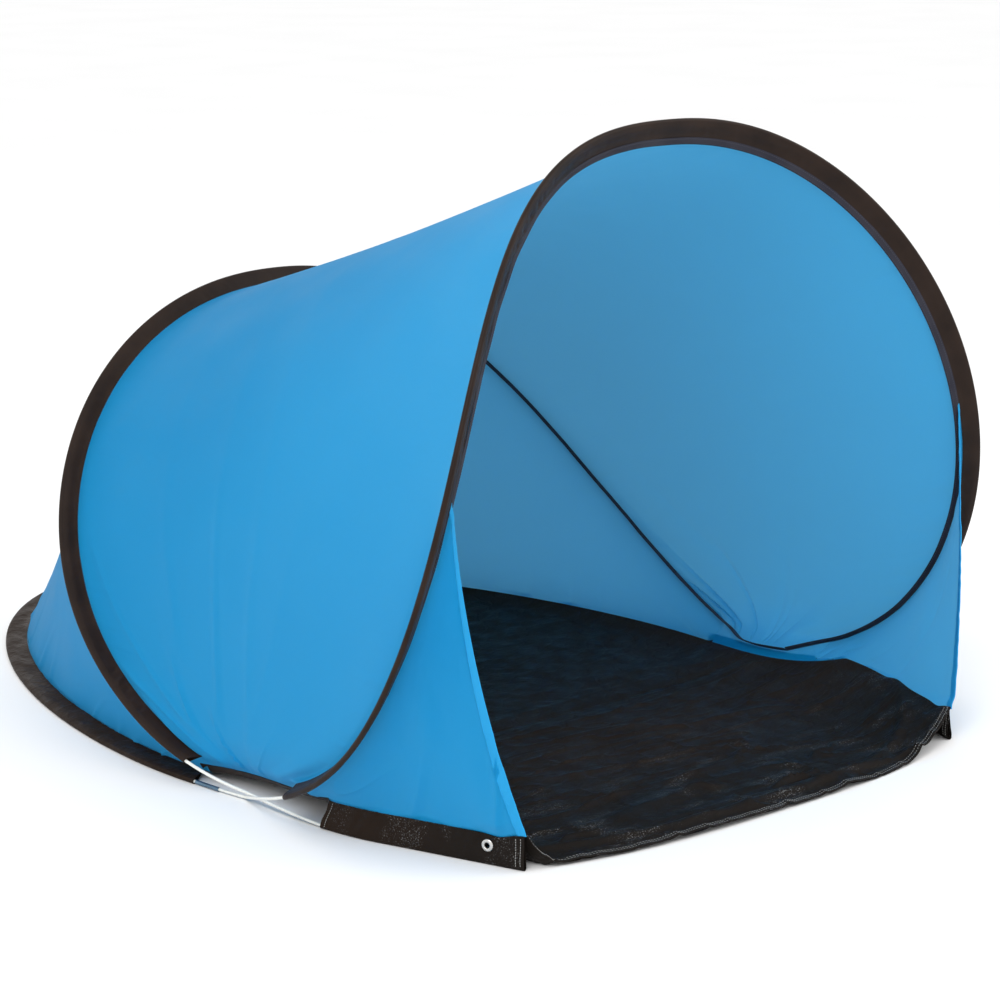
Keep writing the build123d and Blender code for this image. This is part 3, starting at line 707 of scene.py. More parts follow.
def sleeve_grid(rod, seam, width, bulge, pucker, slants=(0.0, 0.0)):
    """A strip folded round a rod; pucker(run, d) moves both plies sideways. slants gives how
    far the seam side of each end stands out past the rod side."""
    run = tangents(rod)
    aim = seam - rod
    over = unit(aim - run * np.sum(aim * run, axis=1, keepdims=True))
    side = np.cross(run, over)
    ply = fold_section(width, bulge)
    section = ply + [(-bulge, 0.0)] + [(d, -h) for d, h in ply[::-1]]
    distance = along(rod)
    first = smooth(1 - distance / 0.08) * -slants[0]
    last = smooth(1 - (distance[-1] - distance) / 0.08) * slants[1]
    columns = []
    for d, h in section:
        push = pucker(distance, d) * smooth((d - 0.003) / 0.010)
        shear = run * ((first + last) * max(d, 0.0) / width)[:, None]
        columns.append(rod + over * d + side * (h + push)[:, None] + shear)
    return np.stack(columns, 1)


def cluster(centres, width, slant, depth, half_run):
    """Short slanted puckers at the given distances along a sleeve."""
    def pucker(distance, d):
        total = np.zeros_like(distance)
        for centre, size in centres:
            x = (distance - centre - slant * d) / width
            reach = smooth((d - half_run[0]) / 0.004) * smooth((half_run[1] - d) / 0.006)
            total += size * np.exp(-x * x) * reach
        return total * depth
    return pucker


def arch_pucker(length, seed, special):
    """Random small puckers all along an arch sleeve, and a few deep ones."""
    draw = np.random.default_rng(seed)
    places = np.arange(0.03, length, 0.031)
    centres = [(c + draw.uniform(-0.012, 0.012), draw.uniform(-1, 1)) for c in places]
    soft = cluster(centres, 0.006, 0.35, 0.0007, (0.004, ARCH_SLEEVE_W))
    special = [(share * length, size) for share, size in special]
    deep = cluster(special, 0.0042, 0.5, 0.0018, (0.006, ARCH_SLEEVE_W - 0.002))

    def pucker(distance, d):
        wave = 0.0012 * noise(distance / 0.09, d / 0.05, seed)
        return soft(distance, d) + deep(distance, d) + wave
    return pucker


front_special = [(0.355 + 0.0052 * i, s) for i, s in enumerate((0.9, -0.7, 1.0, -0.8, 1.0, -0.6, 0.9, 0.5))]
rear_special = [(0.050 + 0.009 * i, s) for i, s in enumerate((0.9, -0.6, 0.8, -0.9, 0.7))]
for name, body, rod, seam, seed, special, slant in (
        ("front_arch_sleeve", "front_arch", front_rod, front_seam, 11, front_special, -0.004),
        ("rear_arch_sleeve", "rear_arch", rear_rod, rear_seam, 12, rear_special, 0.014)):
    length = along(rod)[-1]
    stations = resample(rod, 1100)
    aims = at(seam, np.linspace(0, along(seam)[-1], 1100))
    pucker = arch_pucker(length, seed, special)
    grid = sleeve_grid(stations, aims, ARCH_SLEEVE_W, 0.0043, pucker, (slant, slant))
    obj = cloth(f"{name}_cloth", grid, 0.0004, BROWN, name, body)
    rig.sheet(obj, flat=(0.066, round(length, 3)), held="folded", rests_on=[name.replace("sleeve", "rod")])


def floor_pucker(distance, d):
    wave = 0.0011 * noise(distance / 0.05, d / 0.03, 21)
    return wave + 0.0008 * noise(distance / 0.013 + d / 0.008, d / 0.02, 22)


def above_ground(grid, low=0.0004):
    grid = grid.copy()
    grid[..., 2] = np.maximum(grid[..., 2], low)
    return grid


stations = resample(floor_rod, 1100)
aims = at(floor_seam, np.linspace(0, along(floor_seam)[-1], 1100))
grid = sleeve_grid(stations, aims, FLOOR_SLEEVE_W + 0.0007, 0.0043, floor_pucker, (-0.020, -0.020))
grid = above_ground(grid)
obj = cloth("rear_floor_sleeve_cloth", grid, 0.0005, BLACK, "rear_floor_sleeve", "root")
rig.sheet(obj, flat=(0.083, round(along(floor_rod)[-1], 3)), held="folded", rests_on=["rear_floor_rod"])

# ---- side sleeves and eyelets ----
EYELET_POS = {mount["name"].split("_")[0]: (np.array(mount["pos_m"]) - ROW_SHIFT, np.array(mount["axis"]))
              for mount in frame["record"]["mounts"] if mount["kind"] == "bore"}


def side_pucker(distance, d):
    """Diagonal folds in a side sleeve: fine, middling and broad noise, the same all along it."""
    folds = 0.0022 * noise(distance / 0.022 - d / 0.03, d / 0.06, 31)
    folds += 0.0014 * noise(distance / 0.009 - d / 0.014, d / 0.04, 32)
    folds += 0.0030 * noise(distance / 0.12, d / 0.08, 33)
    return folds


side_run = along(side_line)
corner_distance = side_run[-1] - side_run
side_top[:, 2] += 0.006 * smooth(1 - corner_distance / 0.05)
side_top[:, 2] -= 0.003 * np.exp(-(((corner_distance - 0.045) / 0.02) ** 2))
GROMMET = ((0.0045, 0.0), (0.0045, 0.0014), (0.0048, 0.0026), (0.0056, 0.0033), (0.0072, 0.0034),
           (0.0090, 0.0029), (0.0102, 0.0020), (0.0105, 0.0012), (0.0098, 0.0011), (0.0056, 0.0011),
           (0.0051, 0.0009), (0.0051, -0.0022), (0.0045, -0.0022))
WASHER = ((0.0052, -0.0011), (0.0098, -0.0011), (0.0105, -0.0013), (0.0101, -0.0020), (0.0086, -0.0026),
          (0.0066, -0.0024), (0.0056, -0.0019), (0.0052, -0.0014))
HOLE_R = 0.0058              # in the cloth, under the eyelet's flange
for side_name, side in SIDES:
    flip = FLIP[side]
    centre, axis = EYELET_POS[side_name]
    stations, aims = resample(side_line, 330) * flip, resample(side_top, 330) * flip
    grid = sleeve_grid(stations, aims, SIDE_SLEEVE_H + 0.001, 0.0042, side_pucker, (-0.018, 0.0))
    top_rise = (aims - stations)[:, 2] - SIDE_SLEEVE_H
    grid[..., 2] += top_rise[:, None] * smooth((grid[..., 2] - GROUND_Z) / SIDE_SLEEVE_H)
    offset = np.sum((grid - centre) * axis, axis=2)
    radial = np.linalg.norm(grid - centre - offset[..., None] * axis, axis=2)
    press = smooth((radial - 0.011) / 0.014)
    level = np.clip(offset, -0.0008, 0.0008)
    grid = grid + axis * ((level - offset) * (1 - press))[..., None]
    grid = above_ground(grid)

    def clear_of_hole(points, centre=centre, axis=axis):
        away = points - centre
        away = away - np.sum(away * axis, axis=-1, keepdims=True) * axis
        return np.linalg.norm(away, axis=-1) > HOLE_R

    sleeve = cloth(f"{side_name}_side_sleeve_cloth", grid, 0.0005, BLACK, f"{side_name}_side_sleeve",
                   "front_floor", keep=clear_of_hole)
    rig.sheet(sleeve, flat=(0.098, round(along(side_line)[-1], 3)), held="folded",
             rests_on=["front_floor_rod"])

    # end stitching: two rows at the front end, one at the rear end
    middle = grid.shape[1] // 2
    for row, station in enumerate((-6, -13, 8)):
        column = grid[station]
        first_is_outer = np.dot(column[4] - column[-5], axis) > 0
        for face_name, face in (("out", 1), ("in", -1)):
            ply = column[:middle] if first_is_outer == (face > 0) else column[middle + 1:][::-1]
            ply = resample(ply, 40)[1:-3]
            normal = np.repeat((axis * face)[None, :], len(ply), 0)
            thread_name = f"{side_name}_side_stitch_{row}_{face_name}"
            thread = stitch_mesh(thread_name, ply + normal * 0.0004, normal)
            dress(thread, WHITE_THREAD, body="front_floor")

    grommet = lathe_mesh(f"{side_name}_eyelet_grommet_rolled", GROMMET, centre, axis)
    dress(grommet, EYELET, f"{side_name}_eyelet_grommet", "front_floor")
    washer = lathe_mesh(f"{side_name}_eyelet_washer_ring", WASHER, centre, axis)
    dress(washer, EYELET, f"{side_name}_eyelet_washer", "front_floor")


# ---- canopy, rear wall and wings ----
def cloth_foot(share):
    """Bottom of the blue cloth, just inside the bound edge."""
    return edge_line(share) + np.array([-0.0004, 0.0, 0.0022])


def span(a, b, steps):
    """Straight cloth between two lines."""
    share = np.linspace(0, 1, steps)[None, :, None]
    return a[:, None, :] * (1 - share) + b[:, None, :] * share


def between(a, b, steps, sag, inside):
    """A cloth surface between two seam lines, hollowed towards the inside of the tent."""
    grid = span(a, b, steps)
    share = np.linspace(0, 1, steps)[None, :, None]
    normal = grid_normals(grid)
    middle = grid[len(a) // 2, steps // 2]
    if np.dot(normal[len(a) // 2, steps // 2], middle - inside) < 0:
        normal = -normal
    chord = np.linalg.norm(b - a, axis=1)[:, None, None]
    grid = grid - normal * 4 * sag * chord * share * (1 - share)
    return grid, normal


def shares(grid):
    """How far each row and each column of a grid is from its first, from 0 to 1."""
    return np.linspace(0, 1, grid.shape[0])[:, None], np.linspace(0, 1, grid.shape[1])[None, :]


def near_seams(v, low, high):
    """1 at a panel's two seams, fading over the given shares of its width."""
    return np.exp(-v / low) + np.exp(-(1 - v) / high)


def with_feet(seam, foot):
    """A seam line taken down to a foot point at each end."""
    return np.vstack([foot * MIRROR, seam, foot])


INSIDE = np.array([0.0, 0.1, 0.25])
LEG_SHARE = 0.78             # where the front arch's seam comes down to the bound edge
canopy_rear = resample(smoothed(resample(with_feet(rear_seam, cloth_foot(0.0)[0]), 520), 6), 460)
canopy_front = resample(smoothed(resample(with_feet(front_seam, cloth_foot(LEG_SHARE)[0]), 520), 6), 460)
grid, out = between(canopy_rear, canopy_front, 150, 0.012, INSIDE)
for end, flip in ((-1, np.ones(3)), (0, MIRROR)):
    foot_row = cloth_foot(np.linspace(0.0, LEG_SHARE, grid.shape[1])) * flip
    from_foot = along(canopy_rear) if end == 0 else along(canopy_rear)[-1] - along(canopy_rear)
    grid = grid + (foot_row - grid[end]) * smooth(1 - from_foot / 0.16)[:, None, None]
u, v = shares(grid)
s = u * along(canopy_rear)[-1]
foot_distance = np.minimum(u, 1 - u) * 2.6
edge_fade = smooth(v / 0.04) * smooth((1 - v) / 0.04) * smooth(foot_distance / 0.05)
side_of = np.where(u < 0.5, 1, 2)
lift = 0.0030 * noise(s / 0.45, v / 0.55, 41)
lift += 0.0016 * noise(s / 0.16, v / 0.9, 42)
spread = (v - 0.45) / (0.06 + 0.28 * np.sqrt(foot_distance + 0.01))
fan = 0.0070 * noise(spread * 1.2, foot_distance / 1.1 + side_of * 7, 43)
lift += fan * np.exp(-foot_distance / 0.55) * smooth(foot_distance / 0.10)
fold = creases(spread * 2.3, foot_distance / 0.50 + side_of * 5, 45, 1.4)
rear_part = smooth((0.62 - v) / 0.3 + 0.35)
lift += 0.0075 * fold * np.exp(-foot_distance / 0.40) * smooth(foot_distance / 0.05) * rear_part
fold = creases(s / 0.045 + 3 * v, v * 1.3, 46, 1.3)
lift += 0.0022 * fold * near_seams(v, 0.10, 0.10)
lift += 0.0012 * noise(s / 0.030, v / 0.12, 44) * near_seams(v, 0.05, 0.05)
grid = grid + out * (lift * edge_fade)[..., None]
canopy_grid = grid
canopy = cloth("canopy_cloth", grid, CLOTH, BLUE, "canopy")

wall_low = resample(floor_seam, 420)
wall_top = resample(rear_seam, 420)
grid, out = between(wall_low, wall_top, 130, 0.012, INSIDE)
u, v = shares(grid)
s = u * along(wall_low)[-1]
edge_fade = smooth(v / 0.04) * smooth((1 - v) / 0.04)
bottom_fold = creases(s / 0.085 + v * 1.1, v / 0.7, 55, 1.4)
lift = 0.0035 * noise(s / 0.35, v / 0.6, 51)
lift += 0.0018 * noise(s / 0.12, v / 0.7, 52)
lift += 0.0030 * noise(s / 0.07 + v * 0.8, v / 0.5, 53) * np.exp(-v / 0.16)
lift += 0.0014 * noise(s / 0.030, v / 0.1, 54) * near_seams(v, 0.06, 0.06)
lift += 0.0070 * bottom_fold * np.exp(-v / 0.13)
grid = grid + out * (lift * edge_fade)[..., None]
rear_wall = cloth("rear_wall_cloth", grid, CLOTH, BLUE, "rear_wall")

leg = front_seam[len(front_seam) // 2:][::-1]
leg = leg[leg[:, 2] < WING_TOP_Z]
leg = np.vstack([cloth_foot(LEG_SHARE), leg])
top_line = side_top[side_top[:, 1] < -EDGE_FRONT - 0.004] + np.array([0.0, 0.0, 0.0008])
wing_foot = np.vstack([cloth_foot(np.linspace(LEG_SHARE, 0.99, 12)), top_line])
leg = resample(smoothed(resample(leg, 200), 4), 170)
wing_foot = resample(smoothed(resample(wing_foot, 200), 2), 170)
BOW = {"left": np.array([0.0, 0.030, 0.0]), "right": np.array([0.012, 0.0, 0.0])}
wings, wing_edges = {}, {}
for side_name, side in SIDES:
    flip = FLIP[side]
    steps = 150
    grid = span(wing_foot * flip, leg * flip, steps)
    u, v = shares(grid)
    bow = u**2 * 4 * v * (1 - v)
    grid = grid + bow[..., None] * BOW[side_name]
    normal = grid_normals(grid)
    if normal[-1, steps // 2, 0] * side < 0:
        normal = -normal
    fade = smooth(v / 0.05) * smooth((1 - v) / 0.04) * smooth(u / 0.1)
    seed = 61 if side < 0 else 71
    lift = 0.0060 * noise(u * 3.2, v / 0.9, seed) * smooth((1 - v) / 0.5 + 0.2)
    lift += 0.0030 * noise(u * 9.0 + v * 1.5, v / 0.5, seed + 1)
    lift += 0.0060 * creases(u * 6.0 - v * 2.0, v / 0.8, seed + 3, 1.3) * np.exp(-v / 0.35)
    lift += 0.0016 * noise(u * 26.0, v / 0.12, seed + 2) * near_seams(v, 0.06, 0.08)
    grid = grid + normal * (lift * fade)[..., None]
    wings[side_name] = cloth(f"{side_name}_wing_cloth", grid, CLOTH, BLUE, f"{side_name}_wing")
    wing_edges[side_name] = (grid, normal)

# wing hems: a folded double edge with one row of stitches
HEM_SECTION = ((-0.0128, 0.0009), (-0.008, 0.0012), (-0.002, 0.0012), (0.0022, 0.0008), (0.0030, 0.0),
               (0.0022, -0.0008), (-0.002, -0.0012), (-0.008, -0.0012), (-0.0128, -0.0009))
wing_hems = {}
for side_name, side in SIDES:
    grid, normal = wing_edges[side_name]
    edge = grid[-1]
    back = unit(grid[-1] - grid[-8])
    out = normal[-1]
    run = along(edge)
    pleat = 0.0010 * noise(run / 0.035, 3, 81) + 0.0006 * noise(run / 0.011, 5, 82)
    strip = ribbon(edge, back, out, HEM_SECTION, pleat)
    hem = cloth(f"{side_name}_wing_hem_fold", strip, 0.0004, HEM_BLUE, f"{side_name}_wing_hem")
    line = edge + back * -0.0105
    for face_name, face in (("out", 1), ("in", -1)):
        points = line + out * (face * 0.0011 + pleat)[:, None]
        thread = stitch_mesh(f"{side_name}_wing_hem_stitch_{face_name}", points, out * face, pitch=0.0036,
                             length=0.0026, radius=0.0003)
        dress(thread, HEM_BLUE)
        wing_hems[f"{side_name}_{face_name}"] = thread
    wing_hems[side_name] = hem

# ---- inner seam tapes ----
def on_canopy(y, z):
    """The point of the canopy's inner face, low on the right, at y and z."""
    right = canopy_grid[canopy_grid.shape[0] // 2:].reshape(-1, 3)
    right = right[right[:, 2] < 0.3]
    nearest = right[np.argmin((right[:, 1] - y) ** 2 + (right[:, 2] - z) ** 2)]
    return np.array([nearest[0] - 0.004, y, z])


KINK = (-0.080, 0.044)       # y and z where the two tapes meet beside each crossing
TAPE_SECTION = ((-0.0008, 0.0007), (0.002, 0.0010), (0.008, 0.0009), (0.0114, 0.0004), (0.0118, 0.0),
                (0.0114, -0.0004), (0.008, -0.0009), (0.002, -0.0010), (-0.0008, -0.0007))
front_end = front_seam[-1]
rear_foot = [(0.075, 0.052), (0.035, 0.040), (-0.010, 0.038), KINK]
front_foot = [(front_end[1] + 0.030, front_end[2] - 0.010), KINK]
rear_tapes = []
for name, body, seam, foot in (("front_arch_seam_tape", "front_arch", front_seam, front_foot),
                               ("rear_arch_seam_tape", "rear_arch", rear_seam, rear_foot)):
    low = np.array([on_canopy(y, z) for y, z in foot])
    line = np.vstack([low[::-1] * MIRROR, seam, low])
    line = resample(smoothed(resample(line, 620), 14), 620)
    aside = np.sign(line[:, :1]) * 0.0035 * smooth((0.16 - line[:, 2:]) / 0.06)
    line = line - aside * np.array([1.0, 0.0, 0.0])
    inside = inward(line, arch_middle(FRONT_LINE if "front" in name else REAR_LINE))
    face = unit(np.cross(tangents(line), inside))
    run = along(line)
    ripple = 0.0007 * noise(run / 0.05, 0, 91)
    strip = ribbon(line, inside, face, TAPE_SECTION, ripple)
    tapes = [cloth(f"{name}_binding", strip, 0.0004, BINDING, name)]
    for row, step in enumerate((0.0020, 0.0092)):
        for face_name, sign in (("front", 1), ("back", -1)):
            points = line + inside * step + face * (sign * 0.0010 + ripple)[:, None]
            thread = stitch_mesh(f"{name}_stitch_{row}_{face_name}", points, face * sign, pitch=0.0045,
                                 length=0.0031, radius=0.0003)
            tapes.append(dress(thread, DARK_THREAD))
    if body == "rear_arch":
        rear_tapes = tapes
    else:
        for piece in tapes:
            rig.ride(piece, body)


# ---- groundsheet ----
def seam_at(y):
    """Right edge of the groundsheet at y: x and height."""
    edge = edge_line(np.linspace(0, 1, 60))
    beside = side_top[side_top[:, 1] < -EDGE_FRONT - 0.001]
    right = np.vstack([floor_seam[len(floor_seam) // 2:], edge[1:-1], beside])
    order = np.argsort(right[:, 1])
    return np.interp(y, right[order, 1], right[order, 0]), np.interp(y, right[order, 1], right[order, 2])


def hem_y(x):
    share = np.minimum(np.abs(x) / CORNER_HALF, 1.0)
    return CORNER_Y - (FRONT_END + CORNER_Y - 0.002) * (1 - share**3)


def ridge(x, y):
    """Height of the tunnel over ring A's rod, behind the front hem."""
    out = np.minimum(np.abs(x) / CROSSING_HALF, 0.97)
    forward = FRONT_LOOP_REACH * (1 - out**3) ** (1 / 3)
    slope = FRONT_LOOP_REACH / CROSSING_HALF * out**2 * (1 - out**3) ** (-2 / 3)
    away = (y + forward) / np.sqrt(1 + slope**2) / 0.011
    return 0.0090 * np.exp(-away * away) * smooth((0.575 - np.abs(x)) / 0.02)


REAR_TIP = floor_seam[len(floor_seam) // 2][1]


def sheet_rows(ys, columns, hem_share=None):
    """Rows of the groundsheet across the tent. hem_share bends the last rows to the hem's curve."""
    t = np.linspace(-1, 1, columns)
    x_edge, z_edge = seam_at(ys)
    x_edge, z_edge = x_edge[:, None] - 0.0012, z_edge[:, None] + 0.0030
    x = x_edge * t[None, :]
    y = np.repeat(ys[:, None], columns, 1)
    if hem_share is not None:
        y = y + (hem_y(x) - CORNER_Y) * hem_share[:, None]
    ahead = smooth((0.16 - ys[:, None]) / 0.10)
    front = smooth((-ys[:, None] - 0.30) / 0.24)
    ramp = np.where(x > 0, 0.045 + 0.115 * ahead, 0.045 + 0.115 * ahead - 0.115 * front)
    inside = np.clip((np.abs(x) - (x_edge - ramp)) / ramp, 0.0, 1.0)
    climb = inside - 0.12 * np.sin(inside * pi)
    climb = np.maximum(climb, smooth((y - (REAR_TIP - 0.055)) / 0.048))
    z = z_edge * climb + 0.0008
    return np.stack([x, y, z], -1)


def wrinkle(grid, seed, scale=1.0):
    """Lifts the sheet in long low folds that mostly run across the tent."""
    x, y = grid[..., 0], grid[..., 1]
    front = smooth((-y + 0.1) / 0.6)
    drift = 0.5 * noise(x / 0.22, y / 0.22, seed)
    lift = 0.0045 * creases(x / 0.30 + drift, y / 0.085, seed + 1) * (0.35 + 0.65 * front)
    lift += 0.0030 * creases(x / 0.16 + drift, y / 0.040 + drift, seed + 2) * (0.4 + 0.6 * front)
    lift += 0.0018 * creases(x / 0.07, y / 0.03 + drift, seed + 3)
    lift += 0.0020 * (noise(x / 0.12, y / 0.09, seed + 4) + 0.6)
    edge_x = seam_at(y.ravel())[0]
    inner = smooth((edge_x.reshape(y.shape) - np.abs(x)) / 0.05)
    grid = grid.copy()
    grid[..., 2] += np.maximum(lift, 0) * scale * inner
    return grid


def tuck(grid, x, y, length, turn, height):
    """One sharp fold: a ridge with a groove behind it."""
    turn = radians(turn)
    along_fold = (grid[..., 0] - x) * cos(turn) + (grid[..., 1] - y) * sin(turn)
    away = (grid[..., 1] - y) * cos(turn) - (grid[..., 0] - x) * sin(turn)
    away = away + 0.006 * np.sin(along_fold / length * 5) + 0.003 * np.sin(along_fold / length * 13)
    ridge_shape = np.exp(-((away / 0.0065) ** 2)) - 0.35 * np.exp(-(((away - 0.011) / 0.005) ** 2))
    ends = smooth((length / 2 - np.abs(along_fold)) / (length * 0.3))
    grid = grid.copy()
    grid[..., 2] = np.maximum(grid[..., 2] + height * ridge_shape * ends, 0.0006)
    return grid


TUCKS = ((-0.33, -0.50, 0.13, 4, 0.008), (0.13, -0.535, 0.16, 8, 0.009), (-0.02, -0.47, 0.11, -14, 0.006),
         (0.28, -0.46, 0.12, 20, 0.006), (0.20, -0.36, 0.10, -60, 0.005), (-0.18, -0.40, 0.16, 9, 0.005))
SEAM_Y = 0.0008
front_ys = np.concatenate([np.linspace(-SEAM_Y, -0.10, 30), np.linspace(-0.1034, CORNER_Y, 150)])
hem_share = smooth((-front_ys - 0.30) / (-CORNER_Y - 0.30))
grid = sheet_rows(front_ys, 420, hem_share)
grid = wrinkle(grid, 101, 1.25)
for fold_place in TUCKS:
    grid = tuck(grid, *fold_place)
grid[..., 2] += ridge(grid[..., 0], grid[..., 1])
flatten = smooth((-SEAM_Y - front_ys) / 0.02)[:, None]
grid[..., 2] = grid[..., 2] * flatten + (1 - flatten) * sheet_rows(front_ys, 420, hem_share)[..., 2]
front_sheet = cloth("groundsheet_front_cloth", grid, SHEET, BLACK, sharp=80)
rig.replaces(front_sheet, "groundsheet_front", "front_hem")
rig.ride(front_sheet, "front_floor")
front_edge = grid[-1]

# the strip under the front sheet that holds ring A's rod
right_loop = front_loop()
from_sleeve = side_bottom(-right_loop[:, 1])[:, 0] - right_loop[:, 0]
right_loop = right_loop[(right_loop[:, 1] < -SIDE_LEAVE) & (from_sleeve > 0.017)]
loop_line = resample(np.vstack([right_loop, right_loop[-2::-1] * MIRROR]), 260)
loop_side = unit(np.cross(tangents(loop_line), [0.0, 0.0, 1.0]))
on_ground = loop_line * np.array([1.0, 1.0, 0.0]) + np.array([0.0, 0.0, 0.0006])
strip = np.stack([on_ground + loop_side * step for step in (-0.013, -0.007, 0.0, 0.007, 0.013)], 1)
cloth("front_rod_tunnel_strip", strip, 0.0004, BLACK, "front_rod_tunnel", "front_floor")

tip_share = 1 - (1 - np.linspace(0, 1, 180)[1:]) ** 1.25
rear_ys = np.concatenate([np.linspace(SEAM_Y, 0.10, 20), 0.10 + (REAR_TIP - 0.002 - 0.10) * tip_share])
grid = sheet_rows(rear_ys, 260)
flat_z = grid[..., 2].copy()
grid = wrinkle(grid, 131, 0.9)
flatten = smooth((rear_ys - SEAM_Y) / 0.02)[:, None]
grid[..., 2] = grid[..., 2] * flatten + (1 - flatten) * flat_z
rear_sheet = cloth("groundsheet_rear_cloth", grid, SHEET, BLACK, "groundsheet_rear", "root", sharp=80)

# front hem: the doubled edge of the sheet with two rows of white stitches
edge = resample(front_edge, 420)
run = tangents(edge)
forward = unit(np.cross([0.0, 0.0, 1.0], run))
forward = forward * np.where(forward[:, 1:2] > 0, -1, 1)
face = unit(np.cross(forward, run))
face = face * np.where(face[:, 2:3] < 0, -1, 1)
distance = along(edge)
wave = 0.0013 + 0.0012 * noise(distance / 0.06, 2, 141) + 0.0007 * noise(distance / 0.018, 9, 142)
FRONT_HEM_SECTION = ((-0.0135, 0.0008), (-0.012, 0.0012), (-0.006, 0.0013), (0.0, 0.0012), (0.0014, 0.0),
                     (0.0, -0.0006), (-0.006, -0.0006), (-0.0135, -0.0006))
strip = above_ground(ribbon(edge, forward, face, FRONT_HEM_SECTION, wave), 0.0003)
hem = cloth("front_hem_fold", strip, 0.0005, BLACK, body="front_floor")
for row, step in enumerate((-0.0035, -0.0095)):
    line = edge + forward * step + face * (0.0017 + wave)[:, None]
    thread = stitch_mesh(f"front_hem_stitch_{row}", line, face, pitch=0.0056, length=0.0034, radius=0.00028)
    dress(thread, WHITE_THREAD, body="front_floor")

# ---- bound edges beside the crossings ----
TAPE_STEPS = np.array([0.0, 0.004, 0.008, 0.012, 0.016, 0.019])


def cloth_low(side_name, side):
    """The lowest strip of the blue cloth beside a crossing: rows from rear to front."""
    wing_grid = wing_edges[side_name][0][6:]
    columns = canopy_grid[::-1] if side > 0 else canopy_grid
    rows = [at(columns[:12, j], TAPE_STEPS) for j in range(columns.shape[1])]
    rows += [at(line[:14], TAPE_STEPS) for line in wing_grid]
    behind = at(floor_seam[::-1] * FLIP[side], np.array([0.016, 0.008]))
    rows = [rows[0] + p - rows[0][0] for p in behind] + rows
    return smoothed(np.stack(rows), 8)


def strip_at(strip, ys):
    """The strip's rows where its lower edge is at the given y."""
    order = np.argsort(strip[:, 0, 1])
    low = strip[order, 0, 1]
    flat = strip[order].reshape(len(low), -1)
    rows = np.stack([np.interp(ys, low, flat[:, k]) for k in range(flat.shape[1])], 1)
    return rows.reshape(len(ys), strip.shape[1], 3)


for side_name, side in SIDES:
    strip = cloth_low(side_name, side)
    for half_name, body, first, last in (("rear", "root", strip[0, 0, 1], 0.0003),
                                         ("front", "front_floor", -0.0003, -EDGE_FRONT + 0.004)):
        ys = np.linspace(first, last, 90)
        rows = strip_at(strip, ys)
        out = grid_normals(rows)
        out = out * np.where(out[..., :1] * side < 0, -1, 1)
        up = unit(rows[:, 1] - rows[:, 0])
        wobble = 0.0004 * noise(ys / 0.020, 1, 151)
        face = rows + out * (0.0013 + wobble)[:, None, None]
        rim = rows[:, :1] - up[:, None] * 0.0016 + out[:, :1] * 0.0006
        under = rows[:, :1] - up[:, None] * 0.0012 - out[:, :1] * 0.0012
        top = rows[:, -1:] + out[:, -1:] * 0.0004
        edge_grid = np.concatenate([top, face[:, ::-1], rim, under], 1)
        edge_name = f"{side_name}_{half_name}_edge"
        cloth(f"{edge_name}_tape", edge_grid, 0.0005, EDGE_BROWN, f"{edge_name}_binding", body)

# ---- rods, ferrules ----
nodes = frame["nodes"]
for name in ("front_arch_rod", "rear_arch_rod", "rear_floor_rod", "front_floor_rod"):
    dress(nodes[name], ROD)
for name in ("left_ferrule", "right_ferrule", "front_ferrule"):
    dress(nodes[name], FERRULE)
REACH_IN = 0.010             # a bare rod reaches this far into the sleeve at its end
FERRULE_HALF = 0.029
right_rear = REAR_LINE[len(REAR_LINE) // 2:]
right_floor = FLOOR_LINE[len(FLOOR_LINE) // 2:]
right_front = FRONT_LINE[len(FRONT_LINE) // 2:][::-1]
loop = front_loop()
BARE_RODS = (
    ("rod_a_rear", "rear_arch", right_rear[right_rear[:, 1] < REAR_MOUTH + REACH_IN]),
    ("rod_a_front", "front_floor", loop[loop[:, 1] > -SIDE_MOUTH - REACH_IN]),
    ("rod_b_rear", "root", right_floor[right_floor[:, 1] < REAR_MOUTH - FERRULE_HALF + REACH_IN]),
    ("rod_b_front", "front_arch", right_front[right_front[:, 1] > -FRONT_ARCH_MOUTH - REACH_IN]),
)
for side_name, side in SIDES:
    flip = FLIP[side]
    for name, body, line in BARE_RODS:
        piece = tube_mesh(f"{side_name}_{name}", resample(line, 60) * flip, ROD_R)
        dress(piece, ROD, f"{side_name}_crossing_{name[:5]}", body)

# ---- how the panels bend as the tent folds ----
def row(y, z):
    return (0.0, y + HINGE.y, z)


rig.blend(canopy, "rear_arch", "front_arch", start=row(0.30, 0.0), end=row(-0.18, 0.0))
for piece in rear_tapes:
    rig.blend(piece, "rear_arch", "front_arch", start=row(0.10, 0.0), end=row(-0.18, 0.0))
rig.blend(rear_wall, "root", "rear_arch", start=row(0.0, -0.02), end=row(-0.0079, 0.0592))
lean = radians(16)
for side_name, side in SIDES:
    hem_pieces = [wing_hems[f"{side_name}{end}"] for end in ("", "_out", "_in")]
    for piece in [wings[side_name], *hem_pieces]:
        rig.blend(piece, "front_arch", "front_floor", start=row(0.03 * sin(lean), 0.03 * cos(lean)),
                 end=row(-0.03 * sin(lean), -0.03 * cos(lean)))

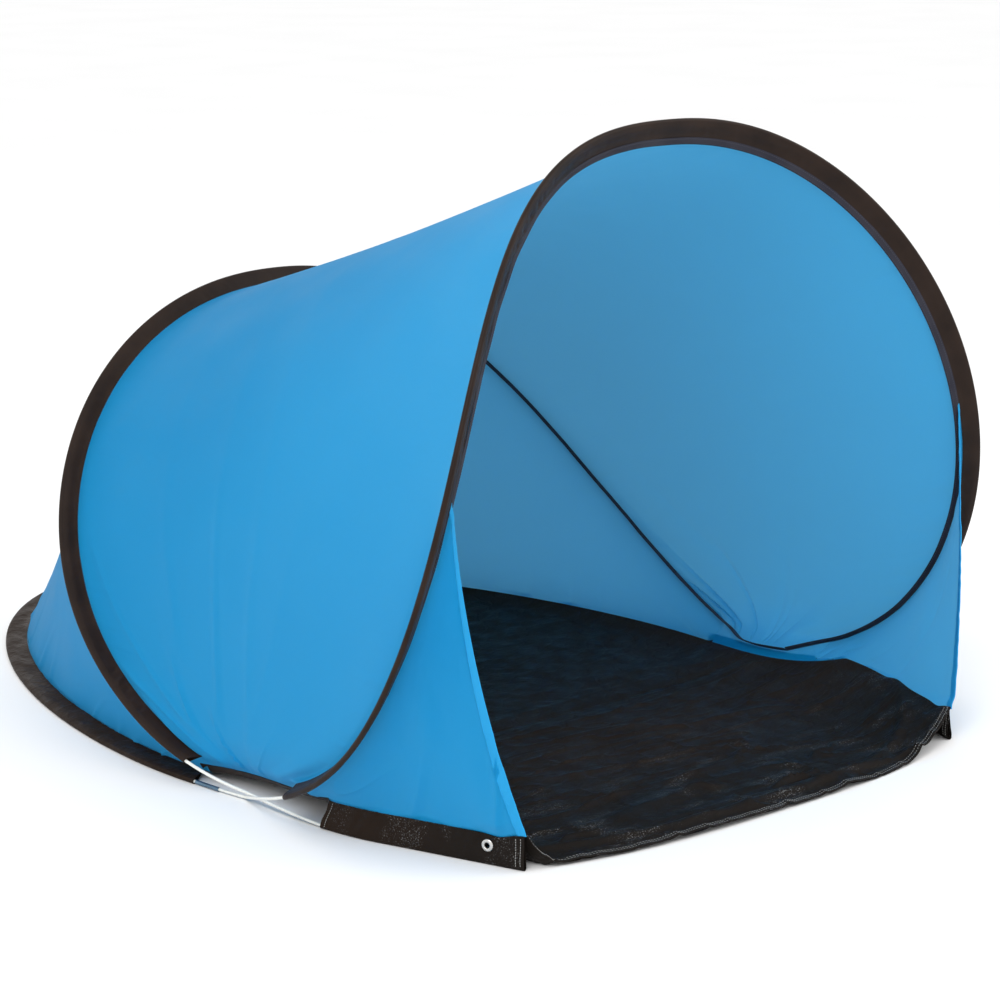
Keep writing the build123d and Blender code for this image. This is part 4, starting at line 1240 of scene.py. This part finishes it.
# ---- declared sheets ----
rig.sheet(canopy, flat=(2.55, 1.10), area=2.2, held="stretched",
         rests_on=["front_arch_sleeve_cloth", "rear_arch_sleeve_cloth"])
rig.sheet(rear_wall, flat=(2.9, 0.90), area=1.26, held="stretched",
         rests_on=["rear_arch_sleeve_cloth", "rear_floor_sleeve_cloth"])
for side_name, side in SIDES:
    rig.sheet(wings[side_name], flat=(0.47, 0.52), area=0.088, held="stretched",
             rests_on=["front_arch_sleeve_cloth", f"{side_name}_side_sleeve_cloth"],
             with_pieces=[wing_hems[side_name]])
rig.sheet(front_sheet, flat=(1.26, 0.63), area=0.74, held="laid", with_pieces=[hem])
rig.sheet(rear_sheet, flat=(1.28, 1.34), area=1.2, held="laid")

# ---- stage, light and camera ----
def stage_paint():
    paint = Paint("pale_floor", (0.90, 0.90, 0.90), 0.85, **{"Specular IOR Level": 0.1})
    base = paint.blend(paint.patches(1.5, 2.0), (0.91, 0.91, 0.91), (0.89, 0.89, 0.89))
    paint.set(paint.shader, {"Base Color": base})
    return paint.material


FLOOR_HALF = 40.0
floor_corners = [(x * FLOOR_HALF, y * FLOOR_HALF, 0) for x, y in ((-1, -1), (1, -1), (1, 1), (-1, 1))]
mesh = bpy.data.meshes.new("floor")
mesh.from_pydata(floor_corners, [], [(0, 1, 2, 3)])
floor = in_scene("floor", mesh)
floor.data.materials.append(stage_paint())
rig.stage(floor)

world = bpy.data.worlds.new("studio")
world.use_nodes = True
sky = world.node_tree.nodes["Background"]
sky.inputs[0].default_value = (1.0, 1.0, 1.0, 1)
sky.inputs[1].default_value = 1.1
bpy.context.scene.world = world


def aimed(obj, place, aim):
    obj.location = place
    obj.rotation_euler = (Vector(aim) - Vector(place)).to_track_quat("-Z", "Y").to_euler()
    return obj


def area_light(name, place, aim, size, power):
    light = bpy.data.lights.new(name, "AREA")
    light.shape = "DISK"
    light.size = size
    light.energy = power
    aimed(in_scene(name, light), place, aim)


area_light("key", (-3.5, -3.0, 4.5), (0, 0, 0.4), 3.0, 130)
area_light("fill", (3.5, -3.5, 3.0), (0, 0, 0.4), 3.0, 50)

EYE = Vector((-3.3895, -3.774 + HINGE.y, 1.5945))
TARGET = Vector((-0.10125, -0.04583 + HINGE.y, 0.43582))
camera = bpy.data.cameras.new("camera")
camera.sensor_width = 36.0
camera.lens = 107.05
camera.clip_end = 200.0
bpy.context.scene.camera = aimed(in_scene("camera", camera), EYE, TARGET)
bpy.context.scene.view_settings.view_transform = "Standard"

visual_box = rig.bounds()
with open("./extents.json", "w") as file:
    json.dump({"cad": [list(p) for p in cad_box], "visual": [list(p) for p in visual_box]}, file)
